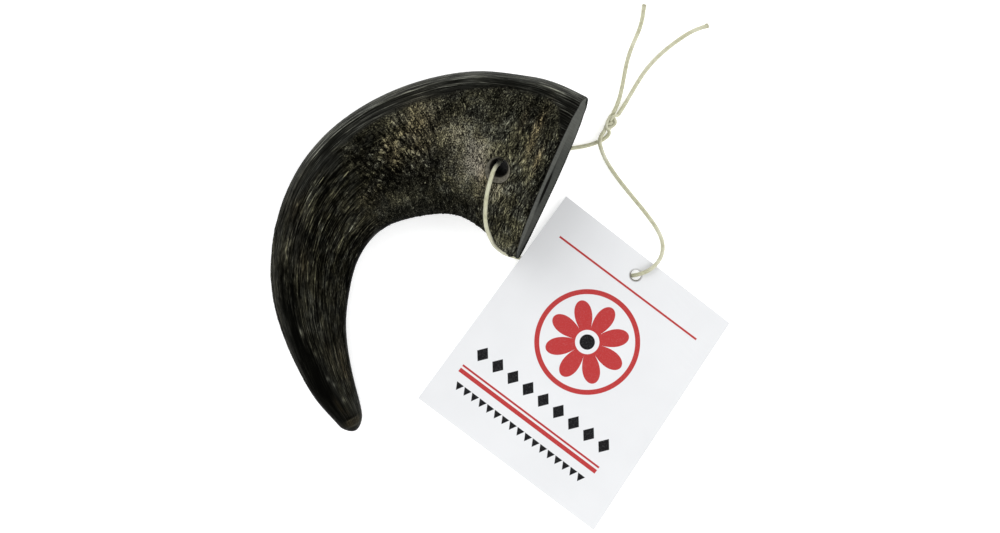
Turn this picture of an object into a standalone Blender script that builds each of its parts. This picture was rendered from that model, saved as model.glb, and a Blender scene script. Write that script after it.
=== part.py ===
"""A buffalo horn tip lying on its side: sawn off at the base, drilled, and tied with a string and a card tag.

Units are metres and +Z is up. The origin is below the middle of the horn, on the surface it lies on.
+X runs from the horn's bend towards its sawn end, and +Y from its tip towards its outer curve.
"""

import math

import bmesh
import bpy
import numpy as np
from mathutils import Matrix, Vector

MM = 0.001

# Driving dimensions of the horn
HORN_STATIONS_MM = (
    # outer edge x, y; inner edge x, y; thickness there, from the sawn end to the tip
    (52.2, 51.0, 29.1, -2.3, 22.0),
    (37.6, 57.3, 20.8, 4.7, 22.3),
    (31.0, 58.55, 17.3, 7.6, 22.25),
    (18.6, 60.1, 11.3, 11.4, 22.0),
    (-0.3, 57.8, 2.3, 12.7, 21.6),
    (-18.8, 50.7, -7.3, 11.1, 21.0),
    (-34.5, 39.6, -15.4, 7.9, 20.4),
    (-45.5, 25.3, -21.4, 2.0, 19.6),
    (-51.6, 8.9, -25.1, -5.3, 18.4),
    (-53.3, -8.3, -27.0, -13.3, 17.0),
    (-50.8, -23.2, -28.1, -22.0, 15.4),
    (-44.4, -39.1, -27.4, -33.7, 13.0),
    (-36.8, -51.6, -24.8, -46.3, 10.2),
    (-31.4, -57.7, -23.2, -53.3, 7.8),
    (-28.6, -61.2, -22.5, -59.0, 6.4),
)
TIP_DOME = 4.2 * MM
LIFT_ANGLE = math.radians(13)
LIFT_START = 43 * MM
LIFT_BEND = 25 * MM
SECTION_COUNT = 62
SECTION_STEPS = 22
BASE_FULLNESS, TIP_FULLNESS = 2.6, 2.0
UNDER_CUT, UNDER_INNER_CUT, UNDER_END = 0.20, 0.27, 42 * MM
KEEL_ROW = 3
KEEL_SHARE_BASE, KEEL_SHARE_BEND = 0.047, 0.07
KEEL_END = 96 * MM
KEEL_RIDGE, KEEL_HOLLOW = 0.55 * MM, 0.5 * MM

# The hole drilled through the horn, from its mouth on top to its mouth below
BORE_TOP = Vector((22.7, 27.4, 25.2)) * MM
BORE_BOTTOM = Vector((28.6, 31.5, 5.9)) * MM
BORE_RADIUS = 3.0 * MM
MOUTH_RADIUS, MOUTH_DEPTH = 4.1 * MM, 1.3 * MM

# The slit left by the core, open in the sawn face
SLIT_ALONG_CHORD, SLIT_ABOVE_MIDDLE = -4.1 * MM, 4.3 * MM
SLIT_LENGTH, SLIT_WIDTH, SLIT_DEPTH = 9.8 * MM, 2.6 * MM, 7.0 * MM

# The string: the loop from the knot through horn and tag and back to the knot, then its two loose tails
STRING_DIAMETER = 1.4 * MM
STRING_STEP, STRING_TURN = 4.7 * MM, math.radians(66)
LOOP_ROUTE_MM = (
    (60.4, 40.7, 1.62),
    (60.0, 39.7, 1.30),
    (58.1, 38.1, 0.82),
    (54.4, 36.5, 0.72),
    (43.6, 34.7, 0.72),
    (36.8, 33.7, 0.80),
    (31.6, 32.5, 1.80),
    (29.2, 31.9, 4.00),
    (27.4, 31.5, 8.00),
    (24.1, 30.4, 16.50),
    (22.3, 28.5, 21.40),
    (21.0, 26.0, 25.10),
    (20.2, 23.3, 26.10),
    (19.1, 19.1, 25.40),
    (18.6, 14.7, 24.70),
    (18.5, 11.2, 24.00),
    (18.9, 8.0, 23.10),
    (19.8, 5.4, 21.30),
    (20.85, 3.2, 18.10),
    (23.2, 0.7, 10.00),
    (24.9, -0.4, 4.90),
    (26.2, -0.9, 2.30),
    (28.7, -1.6, 0.76),
    (37.2, -3.9, 0.72),
    (49.5, -6.5, 0.72),
    (62.2, -8.0, 0.72),
    (66.2, -8.0, 0.72),
    (67.95, -7.9, 0.97),
    (69.1, -7.7, 2.15),
    (70.2, -7.4, 3.35),
    (72.0, -6.8, 3.80),
    (74.7, -5.2, 3.75),
    (77.0, -2.6, 2.85),
    (78.3, 1.6, 0.85),
    (72.9, 12.7, 0.72),
    (62.6, 25.6, 0.72),
    (57.3, 35.2, 2.00),
    (56.9, 37.6, 2.52),
    (57.5, 39.4, 2.30),
    (58.9, 41.3, 1.62),
)
UPPER_TAIL_ROUTE_MM = (
    (61.5, 46.7, 1.70),
    (63.1, 50.4, 1.10),
    (64.2, 54.1, 0.72),
    (66.4, 64.9, 0.72),
    (68.4, 70.6, 0.72),
    (70.8, 76.5, 0.72),
    (72.0, 83.5, 0.72),
)
RIGHT_TAIL_ROUTE_MM = (
    (62.9, 46.0, 1.50),
    (65.2, 49.5, 1.00),
    (72.6, 61.5, 0.72),
    (84.1, 72.0, 0.72),
    (89.2, 75.0, 0.72),
    (93.6, 76.5, 0.72),
)
KNOT_CENTRE = Vector((60.9, 43.6, 1.66)) * MM
KNOT_LENGTH, KNOT_WIDTH = 5.2 * MM, 3.2 * MM
KNOT_DIRECTION = math.atan2(0.914, 0.406)

# The card: its corners in plan, the two beside its hole first, then how it lies over the string
TAG_CORNERS_MM = ((45.6, 18.9), (100.7, -23.9), (55.0, -93.9), (-4.4, -49.3))
TAG_THICKNESS = 0.45 * MM
TAG_HOLE = Vector((69.1, -7.7)) * MM
TAG_HOLE_RADIUS = 1.7 * MM
TAG_LIFT, TAG_FLAT_TO, TAG_DOWN_AT = 1.9 * MM, 28 * MM, 70 * MM
TAG_REST = 0.05 * MM
TAG_CURL, TAG_CURL_REACH = 1.2 * MM, 26 * MM


def smooth_through(places, values, at):
    """Values on the natural cubic curve that passes through the given values at the given places."""
    places, values = np.asarray(places, float), np.asarray(values, float)
    gap = np.diff(places)
    count = len(places)
    left = np.eye(count)
    right = np.zeros(values.shape)
    for i in range(1, count - 1):
        left[i, i - 1 : i + 2] = gap[i - 1], 2 * (gap[i - 1] + gap[i]), gap[i]
        right[i] = 6 * ((values[i + 1] - values[i]) / gap[i] - (values[i] - values[i - 1]) / gap[i - 1])
    bend = np.linalg.solve(left, right)
    i = np.clip(np.searchsorted(places, at, side="right") - 1, 0, count - 2)
    shape = (-1,) + (1,) * (values.ndim - 1)
    g = gap[i].reshape(shape)
    after = ((at - places[i]) / gap[i]).reshape(shape)
    before = 1 - after
    cubic = (before**3 - before) * bend[i] + (after**3 - after) * bend[i + 1]
    return before * values[i] + after * values[i + 1] + cubic * g**2 / 6


def smooth_step(low, high, value):
    t = np.clip((value - low) / (high - low), 0, 1)
    return t * t * (3 - 2 * t)


def material(name, colour, roughness, metallic=0.0):
    made = bpy.data.materials.new(name)
    made.use_nodes = True
    shader = made.node_tree.nodes["Principled BSDF"]
    shader.inputs["Base Color"].default_value = (*colour, 1)
    shader.inputs["Roughness"].default_value = roughness
    shader.inputs["Metallic"].default_value = metallic
    made.diffuse_color = (*colour, 1)
    return made


def add_object(name, data, collection):
    made = bpy.data.objects.new(name, data)
    collection.objects.link(made)
    return made


def lift_at(s):
    """How far the underside has risen off the surface, at a distance s from the sawn end."""
    into = np.clip(LIFT_START - s, 0, None)
    slope = math.tan(LIFT_ANGLE)
    bent = np.minimum(into, LIFT_BEND)
    return slope * bent**2 / (2 * LIFT_BEND) + slope * np.clip(into - LIFT_BEND, 0, None)


def horn_sections():
    """Rings of points round the horn, from the sawn face to just short of the tip, and the tip itself."""
    stations = np.array(HORN_STATIONS_MM) * MM
    outer, inner, thick = stations[:, 0:2], stations[:, 2:4], stations[:, 4]
    middle = (outer + inner) / 2
    along = np.concatenate([[0], np.cumsum(np.linalg.norm(np.diff(middle, axis=0), axis=1))])
    length = along[-1]
    dome_from = length - TIP_DOME
    dome_count = 7
    body = np.linspace(0, dome_from, SECTION_COUNT - dome_count, endpoint=False)
    dome = dome_from + TIP_DOME * np.sin(np.linspace(0, 0.47 * math.pi, dome_count))
    s = np.concatenate([body, dome])
    middle_at = smooth_through(along, middle, s)
    half_chord = smooth_through(along, (outer - inner) / 2, s)
    thick_at = smooth_through(along, thick, s)
    dome_share = np.sqrt(np.clip(1 - (np.clip(s - dome_from, 0, None) / TIP_DOME) ** 2, 0, 1))
    height = lift_at(s) + thick_at / 2
    spine = np.column_stack([middle_at, height])
    forward = np.gradient(spine, s, axis=0)
    rings = []
    for k in range(len(s)):
        chord = np.array([*half_chord[k], 0.0])
        width = np.linalg.norm(chord) * dome_share[k]
        across = chord / np.linalg.norm(chord)
        up = np.cross(forward[k], across)
        up /= np.linalg.norm(up) * (1 if up[2] > 0 else -1)
        x, y = section_shape(s[k], length, width, thick_at[k] / 2 * dome_share[k])
        rings.append(spine[k] + x[:, None] * across + y[:, None] * up)
        if k == 0:
            face = (Vector(spine[0]), Vector(across), Vector(up))
    tip = smooth_through(along, middle, np.array([length]))[0]
    return rings, Vector((*tip, thick[-1] / 2)), face


def section_shape(s, length, half_width, half_height):
    """One ring in its own plane: x runs to the outer edge and y up, first over the top and then back below.

    Near the sawn end the underside is flatter than the top, and most so towards the inner edge.
    """
    share = s / length
    fullness = BASE_FULLNESS + (TIP_FULLNESS - BASE_FULLNESS) * smooth_step(0.1, 0.7, share)
    keel_share = KEEL_SHARE_BASE + (KEEL_SHARE_BEND - KEEL_SHARE_BASE) * smooth_step(0, KEEL_END, s)
    rows = (1 - np.cos(np.pi * np.arange(SECTION_STEPS + 1) / SECTION_STEPS)) / 2
    rows = rows ** (math.log(keel_share) / math.log(rows[KEEL_ROW]))
    side = 1 - 2 * rows
    rise = np.clip(1 - np.abs(side) ** fullness, 0, 1) ** (1 / fullness)
    from_keel = rows / keel_share
    fade = 1 - smooth_step(0.7 * KEEL_END, KEEL_END, s)
    ridge = KEEL_RIDGE * np.exp(-(((from_keel - 1) / 0.3) ** 2))
    hollow = KEEL_HOLLOW * np.exp(-(((from_keel - 2.0) / 0.7) ** 2))
    keel = fade * (ridge - hollow)
    top = half_height * rise + keel + surface_lumps(s, rows, rise, 0.0)
    flattened = UNDER_CUT + UNDER_INNER_CUT * smooth_step(0.3, -1.0, side)
    flattened *= 1 - smooth_step(0, UNDER_END, s)
    below = -(half_height * rise * (1 - flattened) + 0.6 * keel + 0.5 * surface_lumps(s, rows, rise, 2.1))
    x = half_width * side
    top[0] = top[-1] = 0
    return np.concatenate([x, x[-2:0:-1]]), np.concatenate([top, below[-2:0:-1]])


def surface_lumps(s, rows, rise, phase):
    """Low uneven swelling of grown horn: rings near the base, long flutes down the limb."""
    near_base = 1 - smooth_step(30 * MM, 70 * MM, s)
    rings = 0.16 * MM * near_base * np.sin(s / (1.5 * MM) + 2.2 * rows + phase)
    limb = smooth_step(45 * MM, 80 * MM, s) * (1 - smooth_step(125 * MM, 150 * MM, s))
    flutes = 0.22 * MM * limb * np.sin(19 * rows + 0.04 * s / MM + phase)
    broad = 0.25 * MM * np.sin(0.09 * s / MM + phase) * np.sin(5.5 * rows + 0.05 * s / MM)
    return (rings + flutes + broad) * np.clip(rise, 0, 1) ** 2 * (1 - smooth_step(140 * MM, 156 * MM, s))


def horn_mesh():
    """The horn as one closed loft, and its sawn face as a middle point, the chord's direction and up."""
    rings, tip, (middle, across, up) = horn_sections()
    shape = bmesh.new()
    loops = [[shape.verts.new(point) for point in ring] for ring in rings]
    around = len(loops[0])
    for near, far in zip(loops, loops[1:]):
        for i in range(around):
            j = (i + 1) % around
            shape.faces.new((near[i], near[j], far[j], far[i]))
    shape.faces.new(reversed(loops[0]))
    end = shape.verts.new(tip)
    for i in range(around):
        shape.faces.new((loops[-1][i], loops[-1][(i + 1) % around], end))
    bmesh.ops.recalc_face_normals(shape, faces=shape.faces)
    lowest = min(v.co.z for v in shape.verts)
    bmesh.ops.translate(shape, verts=shape.verts, vec=(0, 0, -lowest))
    mesh = bpy.data.meshes.new("horn")
    shape.to_mesh(mesh)
    shape.free()
    mesh.shade_smooth()
    mesh.set_sharp_from_angle(angle=math.radians(40))
    return mesh, (middle - Vector((0, 0, lowest)), across, up)


def cutter(name, build, place):
    """A cutting solid made by one of bmesh's primitives and put in place."""
    shape = bmesh.new()
    build(shape)
    bmesh.ops.transform(shape, verts=shape.verts, matrix=place)
    mesh = bpy.data.meshes.new(name)
    shape.to_mesh(mesh)
    shape.free()
    made = add_object(name, mesh, cutters)
    made.hide_render = True
    made.display_type = "WIRE"
    return made


def cut(target, tool):
    change = target.modifiers.new(tool.name, "BOOLEAN")
    change.operation = "DIFFERENCE"
    change.solver = "EXACT"
    change.object = tool


def flared_drill(shape):
    """The drill with both ends spread into a cone, for the worn rims of the hole's mouths."""
    straight = (BORE_TOP - BORE_BOTTOM).length - 2 * MOUTH_DEPTH
    bmesh.ops.create_cone(
        shape, cap_ends=True, segments=24, radius1=BORE_RADIUS, radius2=BORE_RADIUS, depth=straight
    )
    slope = (MOUTH_RADIUS - BORE_RADIUS) / MOUTH_DEPTH
    reach = 3 * MOUTH_DEPTH
    wider = 1 + slope * reach / BORE_RADIUS
    for cap in [face for face in shape.faces if abs(face.normal.z) > 0.9]:
        outward = cap.normal.copy()
        grown = bmesh.ops.extrude_discrete_faces(shape, faces=[cap])["faces"][0]
        bmesh.ops.scale(shape, vec=(wider, wider, 1), verts=grown.verts)
        bmesh.ops.translate(shape, vec=outward * reach, verts=grown.verts)


def bore_cutter():
    turn = (BORE_TOP - BORE_BOTTOM).to_track_quat("Z", "Y").to_matrix().to_4x4()
    return cutter("drill", flared_drill, Matrix.Translation((BORE_TOP + BORE_BOTTOM) / 2) @ turn)


def slit_cutter(face):
    middle, across, up = face
    inward = across.cross(up)
    centre = middle + SLIT_ALONG_CHORD * across + SLIT_ABOVE_MIDDLE * up - 0.4 * MM * inward
    turn = Matrix((across, up, inward)).transposed().to_4x4()
    size = Matrix.Diagonal((SLIT_LENGTH / 2, SLIT_WIDTH / 2, SLIT_DEPTH, 1))
    return cutter(
        "core_slit",
        lambda shape: bmesh.ops.create_uvsphere(shape, u_segments=20, v_segments=12, radius=1),
        Matrix.Translation(centre) @ turn @ size,
    )


def smooth_route(route_mm):
    """Points on the smooth curve through a route, closer together in its bends, none sunk into the surface."""
    route = np.array(route_mm) * MM
    along = np.concatenate([[0], np.cumsum(np.linalg.norm(np.diff(route, axis=0), axis=1))])
    fine = smooth_through(along, route, np.linspace(0, along[-1], 1500))
    fine[:, 2] = np.maximum(fine[:, 2], STRING_DIAMETER / 2 + 0.01 * MM)
    piece = np.diff(fine, axis=0)
    size = np.linalg.norm(piece, axis=1)
    heading = piece / size[:, None]
    turned = np.linalg.norm(np.diff(heading, axis=0, prepend=heading[:1]), axis=1)
    count = np.concatenate([[0], np.cumsum(size / STRING_STEP + turned / STRING_TURN)])
    places = np.linspace(0, count[-1], round(count[-1]) + 1)
    return np.column_stack([np.interp(places, count, fine[:, i]) for i in range(3)])


def cord(name, route_mm, colour):
    curve = bpy.data.curves.new(name, "CURVE")
    curve.dimensions = "3D"
    points = smooth_route(route_mm)
    line = curve.splines.new("POLY")
    line.points.add(len(points) - 1)
    for point, place in zip(line.points, points):
        point.co = (*place, 1)
    curve.bevel_depth = STRING_DIAMETER / 2
    curve.bevel_resolution = 2
    curve.use_fill_caps = True
    curve.materials.append(colour)
    return add_object(name, curve, part)


def knot_mesh():
    """A pulled-tight overhand knot: a barrel with two strands winding slantwise round it."""
    shape = bmesh.new()
    bmesh.ops.create_uvsphere(shape, u_segments=20, v_segments=14, radius=1)
    for vert in shape.verts:
        along = vert.co.z
        round_by = math.atan2(vert.co.y, vert.co.x)
        wrap = math.cos(2 * round_by + 5.5 * along)
        fat = (1 - abs(along) ** 3.2) ** 0.36 * (1 + 0.13 * wrap)
        flat = Vector((math.cos(round_by), math.sin(round_by))) * fat * KNOT_WIDTH / 2
        if abs(along) > 0.999:
            flat = Vector((0, 0))
        vert.co = Vector((along * KNOT_LENGTH / 2, flat.x, 0.94 * flat.y))
    place = Matrix.Translation(KNOT_CENTRE) @ Matrix.Rotation(KNOT_DIRECTION, 4, "Z")
    bmesh.ops.transform(shape, verts=shape.verts, matrix=place)
    bmesh.ops.recalc_face_normals(shape, faces=shape.faces)
    mesh = bpy.data.meshes.new("string_knot")
    shape.to_mesh(mesh)
    shape.free()
    mesh.shade_smooth()
    return mesh


def tag_height(across_share, from_hole_edge):
    """Height of the card's underside: up on the string at its hole end, eased down to the surface."""
    lift = TAG_LIFT * (1 - smooth_step(TAG_FLAT_TO, TAG_DOWN_AT, from_hole_edge))
    curl = TAG_CURL * (1 - smooth_step(0, TAG_CURL_REACH, (1 - across_share) * 75 * MM + from_hole_edge))
    return TAG_REST + lift + curl


def tag_mesh():
    """The card's underside as a grid between its four corners; Solidify gives it its thickness."""
    beside_a, beside_b, far_b, far_a = (np.array(corner) * MM for corner in TAG_CORNERS_MM)
    columns, rows = 6, 34
    edge_length = np.linalg.norm(far_a - beside_a)
    shape = bmesh.new()
    grid = []
    for j in range(rows + 1):
        down = j / rows
        row = []
        for i in range(columns + 1):
            over = i / columns
            near = beside_a + (beside_b - beside_a) * over
            far = far_a + (far_b - far_a) * over
            place = near + (far - near) * down
            row.append(shape.verts.new((*place, tag_height(over, down * edge_length))))
        grid.append(row)
    for j in range(rows):
        for i in range(columns):
            shape.faces.new((grid[j][i], grid[j + 1][i], grid[j + 1][i + 1], grid[j][i + 1]))
    bmesh.ops.recalc_face_normals(shape, faces=shape.faces)
    if sum(face.normal.z for face in shape.faces) < 0:
        bmesh.ops.reverse_faces(shape, faces=shape.faces)
    mesh = bpy.data.meshes.new("tag")
    shape.to_mesh(mesh)
    shape.free()
    return mesh


for old in list(bpy.data.objects):
    bpy.data.objects.remove(old, do_unlink=True)

part = bpy.data.collections.new("buffalo_horn")
cutters = bpy.data.collections.new("cutters")
bpy.context.scene.collection.children.link(part)
bpy.context.scene.collection.children.link(cutters)

horn_shape, sawn_face = horn_mesh()
horn = add_object("horn", horn_shape, part)
horn.data.materials.append(material("horn", (0.035, 0.03, 0.026), 0.55))
cut(horn, bore_cutter())
cut(horn, slit_cutter(sawn_face))

waxed_cotton = material("string", (0.72, 0.66, 0.52), 0.75)
cord("string_loop", LOOP_ROUTE_MM, waxed_cotton)
cord("string_tail_upper", UPPER_TAIL_ROUTE_MM, waxed_cotton)
cord("string_tail_right", RIGHT_TAIL_ROUTE_MM, waxed_cotton)
knot = add_object("string_knot", knot_mesh(), part)
knot.data.materials.append(waxed_cotton)

tag = add_object("tag", tag_mesh(), part)
tag.data.materials.append(material("tag", (0.85, 0.85, 0.84), 0.5))
card = tag.modifiers.new("card", "SOLIDIFY")
card.thickness = TAG_THICKNESS
card.offset = 1
card.use_even_offset = True
punch_middle = Matrix.Translation((*TAG_HOLE, 2 * MM))
punch = cutter(
    "punch",
    lambda shape: bmesh.ops.create_cone(
        shape, cap_ends=True, segments=24, radius1=TAG_HOLE_RADIUS, radius2=TAG_HOLE_RADIUS, depth=8 * MM
    ),
    punch_middle,
)
cut(tag, punch)
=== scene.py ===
"""A buffalo horn tip with its string and card tag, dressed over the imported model. Metres, +Z up."""

import math

import bmesh
import bpy
import numpy as np
from mathutils import Matrix, Vector, noise


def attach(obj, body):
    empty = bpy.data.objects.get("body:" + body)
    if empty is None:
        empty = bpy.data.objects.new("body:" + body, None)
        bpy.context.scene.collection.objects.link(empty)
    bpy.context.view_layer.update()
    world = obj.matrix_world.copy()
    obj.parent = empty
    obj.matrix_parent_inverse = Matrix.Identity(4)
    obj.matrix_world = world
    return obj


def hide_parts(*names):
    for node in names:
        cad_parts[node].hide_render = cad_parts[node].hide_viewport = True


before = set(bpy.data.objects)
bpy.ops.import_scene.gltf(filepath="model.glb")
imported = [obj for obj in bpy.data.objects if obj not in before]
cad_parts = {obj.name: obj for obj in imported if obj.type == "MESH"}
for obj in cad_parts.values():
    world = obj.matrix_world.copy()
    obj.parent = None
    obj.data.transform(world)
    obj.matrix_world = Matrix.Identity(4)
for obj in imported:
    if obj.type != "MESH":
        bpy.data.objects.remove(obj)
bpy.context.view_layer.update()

# The view: a catalogue photograph taken from straight above, the horn lying on a white table
# under one wide soft light from the upper left, weaker ones round it and pale walls.
MM = 0.001
CAMERA_ABOVE = Vector((23.333, -4.833, 800)) * MM
CAMERA_LENS, CAMERA_SENSOR = 85.21, 36
WALL_WHITE, WALL_LIGHT, CEILING_LIGHT = (0.98, 0.99, 1.0), 1.0, 0.62
LIGHTS_AIM = Vector((0.02, -0.01, 0))
SOFT_LIGHTS = (
    # name, where it stands, width, power in watts
    ("light_upper_left", (-0.95, 0.85, 1.25), 1.3, 10.0),
    ("light_right", (1.25, 0.35, 1.1), 1.2, 8.0),
    ("light_below", (0.15, -1.25, 1.2), 1.2, 7.0),
)
TABLE_REACH, TABLE_GLOW = 4.0, 0.42
TABLE_WHITE, TABLE_SHADE = (0.95, 0.95, 0.948), (0.93, 0.93, 0.93)


def put_in_scene(name, data):
    made = bpy.data.objects.new(name, data)
    bpy.context.scene.collection.objects.link(made)
    return made


class Worked:
    """What a node works out. Sums with it lay further Math nodes in the same tree."""

    def __init__(self, socket):
        self.socket, self.tree = socket, socket.id_data

    def by(self, operation, *values):
        inputs = dict(enumerate((self, *values)))
        return lay_node(self.tree, "ShaderNodeMath", inputs, operation=operation)

    def __add__(self, other):
        return self.by("ADD", other)

    def __sub__(self, other):
        return self.by("SUBTRACT", other)

    def __mul__(self, other):
        return self.by("MULTIPLY", other)

    def __truediv__(self, other):
        return self.by("DIVIDE", other)

    def __pow__(self, other):
        return self.by("POWER", other)

    def __abs__(self):
        return self.by("ABSOLUTE")


def plug(node, inputs):
    """Gives a node's sockets, by name or number, a value or what another node works out."""
    for name, value in inputs.items():
        if isinstance(value, Worked):
            node.id_data.links.new(value.socket, node.inputs[name])
        else:
            node.inputs[name].default_value = value


def lay_node(tree, kind, inputs=None, out=0, **settings):
    """Lays one node and returns what it works out at one of its outputs, or at each of several."""
    made = tree.nodes.new(kind)
    for name, value in settings.items():
        setattr(made, name, value)
    plug(made, inputs or {})
    if isinstance(out, tuple):
        return [Worked(made.outputs[one]) for one in out]
    return Worked(made.outputs[out])


def object_place(tree):
    return lay_node(tree, "ShaderNodeTexCoord", out="Object")


def soft_noise(places, scale, detail=2.0, roughness=0.5, distortion=0.0):
    inputs = {"Vector": places, "Scale": scale, "Detail": detail, "Roughness": roughness}
    return lay_node(places.tree, "ShaderNodeTexNoise", inputs | {"Distortion": distortion})


def spread(value, low, high, to_low=0.0, to_high=1.0, soft=False):
    """A value carried from one range to another and held inside it."""
    kind = "SMOOTHSTEP" if soft else "LINEAR"
    inputs = {"Value": value, "From Min": low, "From Max": high, "To Min": to_low, "To Max": to_high}
    return lay_node(value.tree, "ShaderNodeMapRange", inputs, interpolation_type=kind)


def tint(share, under, over, how="MIX"):
    """Colour over laid on colour under by a share from 0 to 1."""
    tree = (share if isinstance(share, Worked) else under).tree
    under, over = ((*value, 1) if isinstance(value, tuple) else value for value in (under, over))
    return lay_node(tree, "ShaderNodeMix", {0: share, 6: under, 7: over}, 2, data_type="RGBA", blend_type=how)


def start_material(name):
    made = bpy.data.materials.new(name)
    made.use_nodes = True
    return made, made.node_tree, made.node_tree.nodes["Principled BSDF"]


camera = bpy.data.cameras.new("overhead_camera")
camera.sensor_width, camera.lens = CAMERA_SENSOR, CAMERA_LENS
camera.clip_start, camera.clip_end = 0.01, 30
overhead = put_in_scene("overhead_camera", camera)
overhead.location = CAMERA_ABOVE
bpy.context.scene.camera = overhead
bpy.context.scene.view_settings.view_transform = "Standard"

for light_name, stand, width, power in SOFT_LIGHTS:
    lamp = bpy.data.lights.new(light_name, "AREA")
    lamp.shape, lamp.size, lamp.energy = "SQUARE", width, power
    hung = put_in_scene(light_name, lamp)
    hung.location = stand
    hung.rotation_euler = (LIGHTS_AIM - Vector(stand)).to_track_quat("-Z", "Y").to_euler()

room = bpy.data.worlds.new("studio_room")
bpy.context.scene.world = room
room.use_nodes = True
walls = room.node_tree
height = lay_node(
    walls, "ShaderNodeSeparateXYZ", {0: lay_node(walls, "ShaderNodeTexCoord", out="Generated")}, 2
)
glow = spread(height, 0.15, 0.85, WALL_LIGHT, CEILING_LIGHT, soft=True)
plug(walls.nodes["Background"], {"Color": (*WALL_WHITE, 1), "Strength": glow})

table_mesh = bpy.data.meshes.new("white_table")
corners = [(x * TABLE_REACH, y * TABLE_REACH, 0) for x, y in ((-1, -1), (1, -1), (1, 1), (-1, 1))]
table_mesh.from_pydata(corners, [], [(0, 1, 2, 3)])
white_table = put_in_scene("white_table", table_mesh)
white_board, table_tree, table_shader = start_material("white_board")
plug(
    table_shader,
    {
        "Base Color": tint(soft_noise(object_place(table_tree), 40.0), TABLE_SHADE, TABLE_WHITE),
        "Roughness": 0.9,
        "Specular IOR Level": 0.1,
        "Emission Color": (1, 1, 1, 1),
        "Emission Strength": TABLE_GLOW,
    },
)
table_mesh.materials.append(white_board)

# The string: one length of waxed three-ply cotton. It goes down through the drilled hole, up over the
# horn's inner edge, through the tag and back; both ends are tied together in one overhand knot.
STRING_DIAMETER = 1.4 * MM
STRING_LAY = 5.2 * MM
STRING_PLIES = 3
STRING_RING_STEP = 0.26 * MM
STRING_SIDES = 18
PLY_DEPTH, UNEVENNESS, UNEVEN_STEP_MM = 0.045, 0.04, 1.7
END_SWELL, END_SWELL_MM = 0.14, 0.9
LOOP_ROUTE_MM = (
    (60.4, 40.7, 1.62),
    (60.0, 39.7, 1.30),
    (58.1, 38.1, 0.82),
    (54.4, 36.5, 0.72),
    (43.6, 34.7, 0.72),
    (36.8, 33.7, 0.80),
    (31.6, 32.5, 1.80),
    (29.2, 31.9, 4.00),
    (27.4, 31.5, 8.00),
    (24.1, 30.4, 16.50),
    (22.3, 28.5, 21.40),
    (21.0, 26.0, 25.10),
    (20.2, 23.3, 26.10),
    (19.1, 19.1, 25.40),
    (18.6, 14.7, 24.70),
    (18.5, 11.2, 24.00),
    (18.9, 8.0, 23.10),
    (19.8, 5.4, 21.30),
    (20.85, 3.2, 18.10),
    (23.2, 0.7, 10.00),
    (24.9, -0.4, 4.90),
    (26.2, -0.9, 2.30),
    (28.7, -1.6, 0.76),
    (37.2, -3.9, 0.72),
    (49.5, -6.5, 0.72),
    (62.2, -8.0, 0.72),
    (66.2, -8.0, 0.72),
    (67.95, -7.9, 0.97),
    (69.1, -7.7, 2.15),
    (70.2, -7.4, 3.35),
    (72.0, -6.8, 3.80),
    (74.7, -5.2, 3.75),
    (77.0, -2.6, 2.85),
    (78.3, 1.6, 0.85),
    (72.9, 12.7, 0.72),
    (62.6, 25.6, 0.72),
    (57.3, 35.2, 2.00),
    (56.9, 37.6, 2.52),
    (57.5, 39.4, 2.30),
    (58.9, 41.3, 1.62),
)
UPPER_TAIL_ROUTE_MM = (
    (61.5, 46.7, 1.70),
    (63.1, 50.4, 1.10),
    (64.2, 54.1, 0.72),
    (66.4, 64.9, 0.72),
    (68.4, 70.6, 0.72),
    (70.8, 76.5, 0.72),
    (72.0, 83.5, 0.72),
)
RIGHT_TAIL_ROUTE_MM = (
    (62.9, 46.0, 1.50),
    (65.2, 49.5, 1.00),
    (72.6, 61.5, 0.72),
    (84.1, 72.0, 0.72),
    (89.2, 75.0, 0.72),
    (93.6, 76.5, 0.72),
)
KNOT_MIDDLE = Vector((60.9, 43.6, 1.66)) * MM
KNOT_DIRECTION = math.atan2(0.914, 0.406)
KNOT_STRAND_MM = 0.98
KNOT_PULLS = 150
KNOT_SHIFT_MM = (-0.5, 0.36, 0.0)
SQUEEZE, SQUEEZE_WITHIN_MM, SQUEEZE_FADE_MM = 0.26, 2.4, 1.6
COTTON_CREAM, COTTON_SHADE, COTTON_WAX = (0.53, 0.53, 0.36), (0.36, 0.34, 0.22), (0.60, 0.59, 0.45)


def smooth_through(places, values, at):
    """Values on the natural cubic curve that passes through the given values at the given places."""
    places, values = np.asarray(places, float), np.asarray(values, float)
    gap = np.diff(places)
    count = len(places)
    left = np.eye(count)
    right = np.zeros(values.shape)
    for i in range(1, count - 1):
        left[i, i - 1 : i + 2] = gap[i - 1], 2 * (gap[i - 1] + gap[i]), gap[i]
        right[i] = 6 * ((values[i + 1] - values[i]) / gap[i] - (values[i] - values[i - 1]) / gap[i - 1])
    bend = np.linalg.solve(left, right)
    i = np.clip(np.searchsorted(places, at, side="right") - 1, 0, count - 2)
    shape = (-1,) + (1,) * (values.ndim - 1)
    g = gap[i].reshape(shape)
    after = ((at - places[i]) / gap[i]).reshape(shape)
    before = 1 - after
    cubic = (before**3 - before) * bend[i] + (after**3 - after) * bend[i + 1]
    return before * values[i] + after * values[i + 1] + cubic * g**2 / 6


def length_along(line):
    return np.concatenate([[0], np.cumsum(np.linalg.norm(np.diff(line, axis=0), axis=1))])


def evenly(line, count):
    """The same line with its points an even distance apart."""
    along = length_along(line)
    at = np.linspace(0, along[-1], count)
    return np.column_stack([np.interp(at, along, line[:, i]) for i in range(line.shape[1])])


def route_line(route_mm):
    """The smooth line through a route, never sunk into the table."""
    route = np.array(route_mm) * MM
    along = length_along(route)
    line = smooth_through(along, route, np.linspace(0, along[-1], 1500))
    line[:, 2] = np.maximum(line[:, 2], STRING_DIAMETER / 2 + 0.01 * MM)
    return line


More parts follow.
